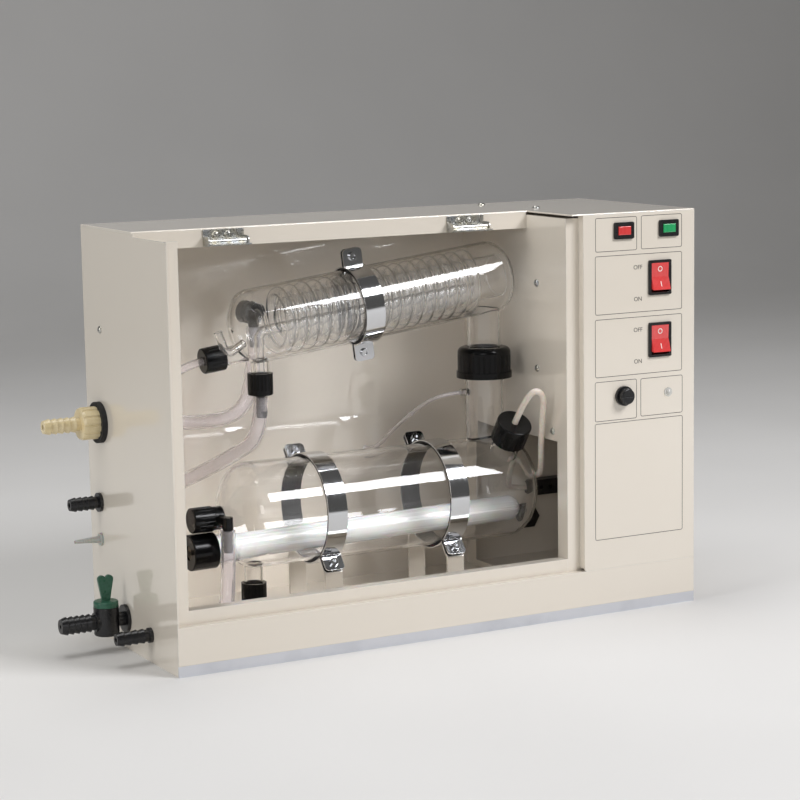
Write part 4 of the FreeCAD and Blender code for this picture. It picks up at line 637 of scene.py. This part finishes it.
def screw_tree():
    """Pan-head screws with a cross recess, one at each point, turned to its facing."""
    tree, sizes = growing_tree("pan_head_screws", SCREW_SIZES)
    head, tall = sizes["Head Radius"], sizes["Head Height"]
    ball = add(tree, "GeometryNodeMeshUVSphere", {"Segments": 32, "Rings": 16, "Radius": 1.0})
    squash = add(tree, "ShaderNodeCombineXYZ", {"X": head, "Y": head, "Z": tall}).outputs["Vector"]
    dome = add(tree, "GeometryNodeTransform", {"Geometry": ball.outputs["Mesh"], "Scale": squash})
    long, wide = times(tree, head, 1.2), sizes["Slot Width"]
    deep = times(tree, sizes["Slot Depth"], 2.0)
    top = add(tree, "ShaderNodeCombineXYZ", {"Z": tall}).outputs["Vector"]
    cuts = []
    for x, y in ((long, wide), (wide, long)):
        size = add(tree, "ShaderNodeCombineXYZ", {"X": x, "Y": y, "Z": deep}).outputs["Vector"]
        cube = add(tree, "GeometryNodeMeshCube", {"Size": size}).outputs["Mesh"]
        cuts.append(add(tree, "GeometryNodeTransform", {"Geometry": cube, "Translation": top}))
    wall = times(tree, head, 4.0)
    under = add(tree, "ShaderNodeCombineXYZ", {"Z": times(tree, head, -2.0)}).outputs["Vector"]
    size = add(tree, "ShaderNodeCombineXYZ", {"X": wall, "Y": wall, "Z": wall}).outputs["Vector"]
    cube = add(tree, "GeometryNodeMeshCube", {"Size": size}).outputs["Mesh"]
    cuts.append(add(tree, "GeometryNodeTransform", {"Geometry": cube, "Translation": under}))
    carved = add(tree, "GeometryNodeMeshBoolean", {"Mesh 1": dome.outputs["Geometry"]},
                 operation="DIFFERENCE")
    for cut in cuts:
        tree.links.new(cut.outputs["Geometry"], carved.inputs["Mesh 2"])
    shank = add(tree, "GeometryNodeMeshCylinder", {"Vertices": 20, "Radius": sizes["Shank Radius"],
                                                   "Depth": sizes["Shank Length"]}).outputs["Mesh"]
    sunk = add(tree, "ShaderNodeCombineXYZ", {"Z": times(tree, sizes["Shank Length"], -0.49)})
    shank = add(tree, "GeometryNodeTransform", {"Geometry": shank, "Translation": sunk.outputs["Vector"]})
    whole = add(tree, "GeometryNodeJoinGeometry")
    for part in (carved.outputs["Mesh"], shank.outputs["Geometry"]):
        tree.links.new(part, whole.inputs["Geometry"])
    facing = add(tree, "GeometryNodeInputNamedAttribute", {"Name": "facing"}, data_type="FLOAT_VECTOR")
    turn = add(tree, "FunctionNodeAlignRotationToVector", {"Vector": facing.outputs["Attribute"]}, axis="Z")
    placed = add(tree, "GeometryNodeInstanceOnPoints",
                 {"Points": sizes["Geometry"], "Instance": whole.outputs["Geometry"],
                  "Rotation": turn.outputs["Rotation"]})
    close_tree(tree, placed.outputs["Instances"], sizes["Finish"])
    return tree


# Where each case screw sits, with the way its head faces: one on each side, three in the
# partition, two on top, then two to each hinge
LEFT, RIGHT, UPWARD, FORWARD = (-1, 0, 0), (1, 0, 0), (0, 0, 1), (0, -1, 0)
SIDE_BACK, SIDE_UP = CASE_DEEP - 41.6, CASE_TALL - 95.2
WALL_SCREWS = ((61.5, CASE_TALL - 68.8), (61.5, CASE_TALL - 151.7), (34.0, 178.0))
TOP_SCREWS = ((BOX_LEFT - 5, CASE_DEEP - 24.3), (BOX_LEFT + 12, CASE_DEEP - 101.8))
HINGE_LEFTS, HINGE_HOLES = (69.0, 320.5), (12, 24)
HINGE_BACK, HINGE_UP = 78.8, CASE_TALL - 6.5
CASE_SCREWS = ([((0, SIDE_BACK, SIDE_UP), LEFT), ((CASE_WIDE, SIDE_BACK, SIDE_UP), RIGHT)]
               + [((WALL_LEFT, back, up), LEFT) for back, up in WALL_SCREWS]
               + [((across, back, CASE_TALL), UPWARD) for across, back in TOP_SCREWS]
               + [((across + hole, HINGE_BACK, HINGE_UP), FORWARD)
                  for across in HINGE_LEFTS for hole in HINGE_HOLES])


def case_screws():
    points = bpy.data.meshes.new("screw_points")
    points.from_pydata([put(*place) for place, _ in CASE_SCREWS], [], [])
    facing = points.attributes.new("facing", "FLOAT_VECTOR", "POINT")
    for row, (_, way) in zip(facing.data, CASE_SCREWS):
        row.vector = way
    sizes = {name: size * MM for name, size in SCREW_SIZES.items()}
    sizes["Finish"] = FINISHES["zinc_plate"]
    mesh = grow("cross_head_screws", points, screw_tree(), sizes)
    piece("cross_head_screws", mesh, "zinc_plate", stands_for=("case_screws",))


def winding_tree():
    """A round wire wound on a core that lies along X."""
    tree, sizes = growing_tree("resistance_winding", ("Core Radius", "Wire Radius", "Length", "Turns",
                                                      "Start X", "Start Z", "Tilt"))
    radius = add(tree, "ShaderNodeMath", {0: sizes["Core Radius"], 1: sizes["Wire Radius"]},
                 operation="ADD").outputs["Value"]
    spiral = add(tree, "GeometryNodeCurveSpiral", {
        "Resolution": 20, "Rotations": sizes["Turns"], "Start Radius": radius, "End Radius": radius,
        "Height": sizes["Length"]})
    ring = add(tree, "GeometryNodeCurvePrimitiveCircle", {"Resolution": 6, "Radius": sizes["Wire Radius"]})
    wire = add(tree, "GeometryNodeCurveToMesh", {
        "Curve": spiral.outputs["Curve"], "Profile Curve": ring.outputs["Curve"], "Fill Caps": True})
    lie = add(tree, "ShaderNodeCombineXYZ", {"Y": sizes["Tilt"]}).outputs["Vector"]
    place = add(tree, "ShaderNodeCombineXYZ", {"X": sizes["Start X"], "Y": put(0, GLASS_BACK, 0).y,
                                               "Z": sizes["Start Z"]}).outputs["Vector"]
    laid = add(tree, "GeometryNodeTransform", {"Geometry": wire.outputs["Mesh"], "Translation": place,
                                               "Rotation": lie})
    close_tree(tree, laid.outputs["Geometry"], sizes["Finish"])
    return tree


HEATER_START, HEATER_UP, HEATER_TILT = 64.0, 86.0, math.radians(1.0)
CORE_R, WIRE_R, WINDING_LONG, WINDING_TURNS = 8.0, 0.6, 300.0, 75.0


def heater_winding_piece():
    start = put(HEATER_START, GLASS_BACK, HEATER_UP)
    sizes = {"Core Radius": CORE_R * MM, "Wire Radius": WIRE_R * MM, "Length": WINDING_LONG * MM,
             "Turns": WINDING_TURNS, "Start X": start.x, "Start Z": start.z,
             "Tilt": math.pi / 2 - HEATER_TILT, "Finish": FINISHES["element"]}
    mesh = grow("resistance_wire", bpy.data.meshes.new("no_base"), winding_tree(), sizes)
    piece("resistance_wire", mesh, "element")


# Print on the switch panel. Cells are left, right, bottom, top.
CELLS = [(436.4, 483.5, 351.1, 383.4), (488.3, 535.4, 351.4, 383.6), (436.0, 535.5, 291.2, 347.2),
         (435.7, 535.6, 231.2, 286.9), (435.3, 483.0, 188.8, 227.1), (487.4, 536.3, 189.8, 226.8),
         (435.1, 536.5, 73.3, 186.9)]
LINE_WIDE, INK_THICK, INK_FRONT, CELL_CORNER = 0.5, 0.06, -0.01, 2.0
SWITCHES = ((509.3, 323.6), (509.3, 263.4))
# The words beside each switch, with their places across and up from its middle
WORDS = (("OFF", -24.7, 10.7), ("ON", -24.7, -19.8))
LETTER_TALL, CAPITAL_SHARE = 4.2, 1.4


def rounded_outline(x0, x1, z0, z1, radius, steps=6):
    places = []
    for cx, cz, start in ((x1 - radius, z1 - radius, 0), (x0 + radius, z1 - radius, 90),
                          (x0 + radius, z0 + radius, 180), (x1 - radius, z0 + radius, 270)):
        for i in range(steps + 1):
            turn = math.radians(start + 90 * i / steps)
            places.append((cx + radius * math.cos(turn), cz + radius * math.sin(turn)))
    return places


def raised_ring(mesh, outer, inner, front, thick):
    """A flat ring between two outlines of the same count, standing forward by thick."""
    rows = []
    for outline, depth in ((outer, front), (outer, front - thick), (inner, front - thick), (inner, front)):
        rows.append([mesh.verts.new(put(x, depth, z)) for x, z in outline])
    count = len(outer)
    for row, after in zip(rows, rows[1:] + rows[:1]):
        for k in range(count):
            n = (k + 1) % count
            mesh.faces.new([row[k], row[n], after[n], after[k]])


def lettering(mesh, word, x, z, tall, front, thick):
    text = bpy.data.curves.new("word", "FONT")
    text.body = word
    text.size = tall * MM * CAPITAL_SHARE
    text.extrude = thick * MM / 2
    text.align_x = "CENTER"
    text.align_y = "CENTER"
    holder = bpy.data.objects.new("word", text)
    bpy.context.scene.collection.objects.link(holder)
    bpy.context.view_layer.update()
    shape = bpy.data.meshes.new_from_object(holder)
    shape.transform(Matrix.Translation(put(x, front - thick / 2, z)) @ Matrix.Rotation(math.pi / 2, 4, "X"))
    mesh.from_mesh(shape)
    bpy.data.objects.remove(holder)
    bpy.data.meshes.remove(shape)
    bpy.data.curves.remove(text)


def panel_print():
    mesh = bmesh.new()
    for x0, x1, z0, z1 in CELLS:
        outer = rounded_outline(x0, x1, z0, z1, CELL_CORNER)
        inner = rounded_outline(x0 + LINE_WIDE, x1 - LINE_WIDE, z0 + LINE_WIDE, z1 - LINE_WIDE,
                                CELL_CORNER - LINE_WIDE)
        raised_ring(mesh, outer, inner, INK_FRONT, INK_THICK)
    for x, z in SWITCHES:
        for word, across, up in WORDS:
            lettering(mesh, word, x + across, z + up, LETTER_TALL, INK_FRONT, INK_THICK)
    bmesh.ops.recalc_face_normals(mesh, faces=mesh.faces)
    data = bpy.data.meshes.new("panel_print")
    mesh.to_mesh(data)
    mesh.free()
    piece("panel_print", data, "plastic_black", finish_of=printed_ink())


# Marks on the switch keys, in the key's own plane
PIVOT_BACK, REST_TILT = 4.0, math.radians(-8.0)
KEY_DEEP, KEY_TIP, KEY_HALF = 1.2, 3.6, 13.0
MARK_FRONT, MARK_BACK = 0.08, 0.01
RING_UP, RING_R, RING_HOLE = 7.2, 2.6, 0.72
BAR_HALF, BAR_TOP, BAR_FOOT = 0.4, -4.6, -9.8


def key_point(x, z, switch, off):
    """A point on a key's face, x across and z up from its pivot, off in front of it."""
    slope = (KEY_TIP - KEY_DEEP) / KEY_HALF
    y = -KEY_DEEP - slope * abs(z) - off
    local = Vector((x, y - PIVOT_BACK, z))
    local = Matrix.Rotation(REST_TILT, 3, "X") @ local
    return put(local.x + switch[0], local.y + PIVOT_BACK, local.z + switch[1])


def key_marks(name, body, switch):
    mesh = bmesh.new()
    ring = [(RING_R * math.cos(math.radians(turn)), RING_UP + RING_R * math.sin(math.radians(turn)))
            for turn in range(0, 360, 15)]
    hole = [(x * RING_HOLE, RING_UP + (z - RING_UP) * RING_HOLE) for x, z in ring]
    bar = [(BAR_HALF, BAR_TOP), (-BAR_HALF, BAR_TOP), (-BAR_HALF, BAR_FOOT), (BAR_HALF, BAR_FOOT)]
    for outer, inner in ((ring, hole), (bar, None)):
        front = [mesh.verts.new(key_point(x, z, switch, MARK_FRONT)) for x, z in outer]
        back = [mesh.verts.new(key_point(x, z, switch, MARK_BACK)) for x, z in outer]
        count = len(outer)
        for k in range(count):
            n = (k + 1) % count
            mesh.faces.new([front[k], front[n], back[n], back[k]])
        if inner:
            front_in = [mesh.verts.new(key_point(x, z, switch, MARK_FRONT)) for x, z in inner]
            back_in = [mesh.verts.new(key_point(x, z, switch, MARK_BACK)) for x, z in inner]
            for k in range(count):
                n = (k + 1) % count
                mesh.faces.new([front[k], front[n], front_in[n], front_in[k]])
                mesh.faces.new([back[k], back[n], back_in[n], back_in[k]])
                mesh.faces.new([front_in[k], front_in[n], back_in[n], back_in[k]])
        else:
            mesh.faces.new(front)
            mesh.faces.new(back)
    bmesh.ops.recalc_face_normals(mesh, faces=mesh.faces)
    data = bpy.data.meshes.new(name)
    mesh.to_mesh(data)
    mesh.free()
    piece(name, data, "lens_red", body, finish_of=white_mark())


# Floor, backdrop and light

# The cove in metres: its floor runs from front to back, bends up round an arc and rises
COVE_FRONT, COVE_BACK, COVE_BEND, COVE_TOP, COVE_HALF = -5.0, 2.2, 1.2, 5.0, 7.0
COVE_STEPS = 12


def floor_and_backdrop():
    profile = [(COVE_FRONT, 0.0), (COVE_BACK, 0.0)]
    for i in range(1, COVE_STEPS + 1):
        turn = math.radians(90 * i / COVE_STEPS)
        profile.append((COVE_BACK + COVE_BEND * math.sin(turn), COVE_BEND * (1 - math.cos(turn))))
    profile.append((COVE_BACK + COVE_BEND, COVE_TOP))
    mesh = bmesh.new()
    rows = [[mesh.verts.new((x, y, z)) for y, z in profile] for x in (-COVE_HALF, COVE_HALF)]
    for i in range(len(profile) - 1):
        face = mesh.faces.new([rows[0][i], rows[1][i], rows[1][i + 1], rows[0][i + 1]])
        face.smooth = True
    data = bpy.data.meshes.new("studio_cove")
    mesh.to_mesh(data)
    mesh.free()
    data.materials.append(studio_paper())
    cove = bpy.data.objects.new("studio_cove", data)
    bpy.context.scene.collection.objects.link(cove)


# Each soft box: its place, what it aims at and its size in metres, its watts and its colour
SOFT_BOXES = (
    ("key", (1.1, -1.5, 1.7), (0.05, 0.0, 0.15), (0.9, 0.7), 38.0, "#FCFCFF"),
    ("front", (-1.5, -2.3, 1.0), (0.0, 0.0, 0.15), (0.9, 0.9), 7.0, "#FDFCFF"),
    ("top", (-0.2, 0.3, 2.1), (0.0, 0.0, 0.1), (1.6, 0.8), 17.0, "#FFFFFF"),
    ("side", (-2.2, -0.2, 1.0), (0.0, 0.0, 0.15), (0.9, 1.4), 15.0, "#FFFFFF"),
)
# How strongly the surroundings light the object, and how bright they look beyond the cove
WORLD_LIGHT, WORLD_SEEN = 0.12, 0.6


def soft_box(name, place, aim, size, power, colour):
    lamp = bpy.data.lights.new(name, "AREA")
    lamp.shape = "RECTANGLE"
    lamp.size, lamp.size_y = size
    lamp.energy = power
    lamp.color = linear(colour)[:3]
    holder = bpy.data.objects.new(name, lamp)
    holder.location = place
    away = Vector(place) - Vector(aim)
    holder.rotation_euler = away.to_track_quat("Z", "Y").to_euler()
    bpy.context.scene.collection.objects.link(holder)


def studio_light():
    for row in SOFT_BOXES:
        soft_box(*row)
    world = bpy.data.worlds.new("studio")
    bpy.context.scene.world = world
    world.use_nodes = True
    world.node_tree.nodes.clear()
    ray = add(world.node_tree, "ShaderNodeLightPath").outputs
    seen = add(world.node_tree, "ShaderNodeMath", {0: ray["Is Camera Ray"], 1: ray["Is Transmission Ray"]},
               operation="MAXIMUM").outputs["Value"]
    strength = add(world.node_tree, "ShaderNodeMapRange",
                   {"Value": seen, "To Min": WORLD_LIGHT, "To Max": WORLD_SEEN}).outputs["Result"]
    glow = add(world.node_tree, "ShaderNodeBackground", {"Color": linear("#F4F2EF"), "Strength": strength})
    add(world.node_tree, "ShaderNodeOutputWorld", {"Surface": glow.outputs["Background"]})


def view_settings():
    scene = bpy.context.scene
    scene.view_settings.view_transform = "Standard"
    scene.cycles.max_bounces = 24
    scene.cycles.transmission_bounces = 24
    scene.cycles.transparent_max_bounces = 32
    scene.cycles.glossy_bounces = 8


set_camera()
dress_nodes()
soft_runs()
wound_coil()
case_screws()
heater_winding_piece()
panel_print()
key_marks("upper_key_marks", "rocker_upper", SWITCHES[0])
key_marks("lower_key_marks", "rocker_lower", SWITCHES[1])
floor_and_backdrop()
studio_light()
view_settings()
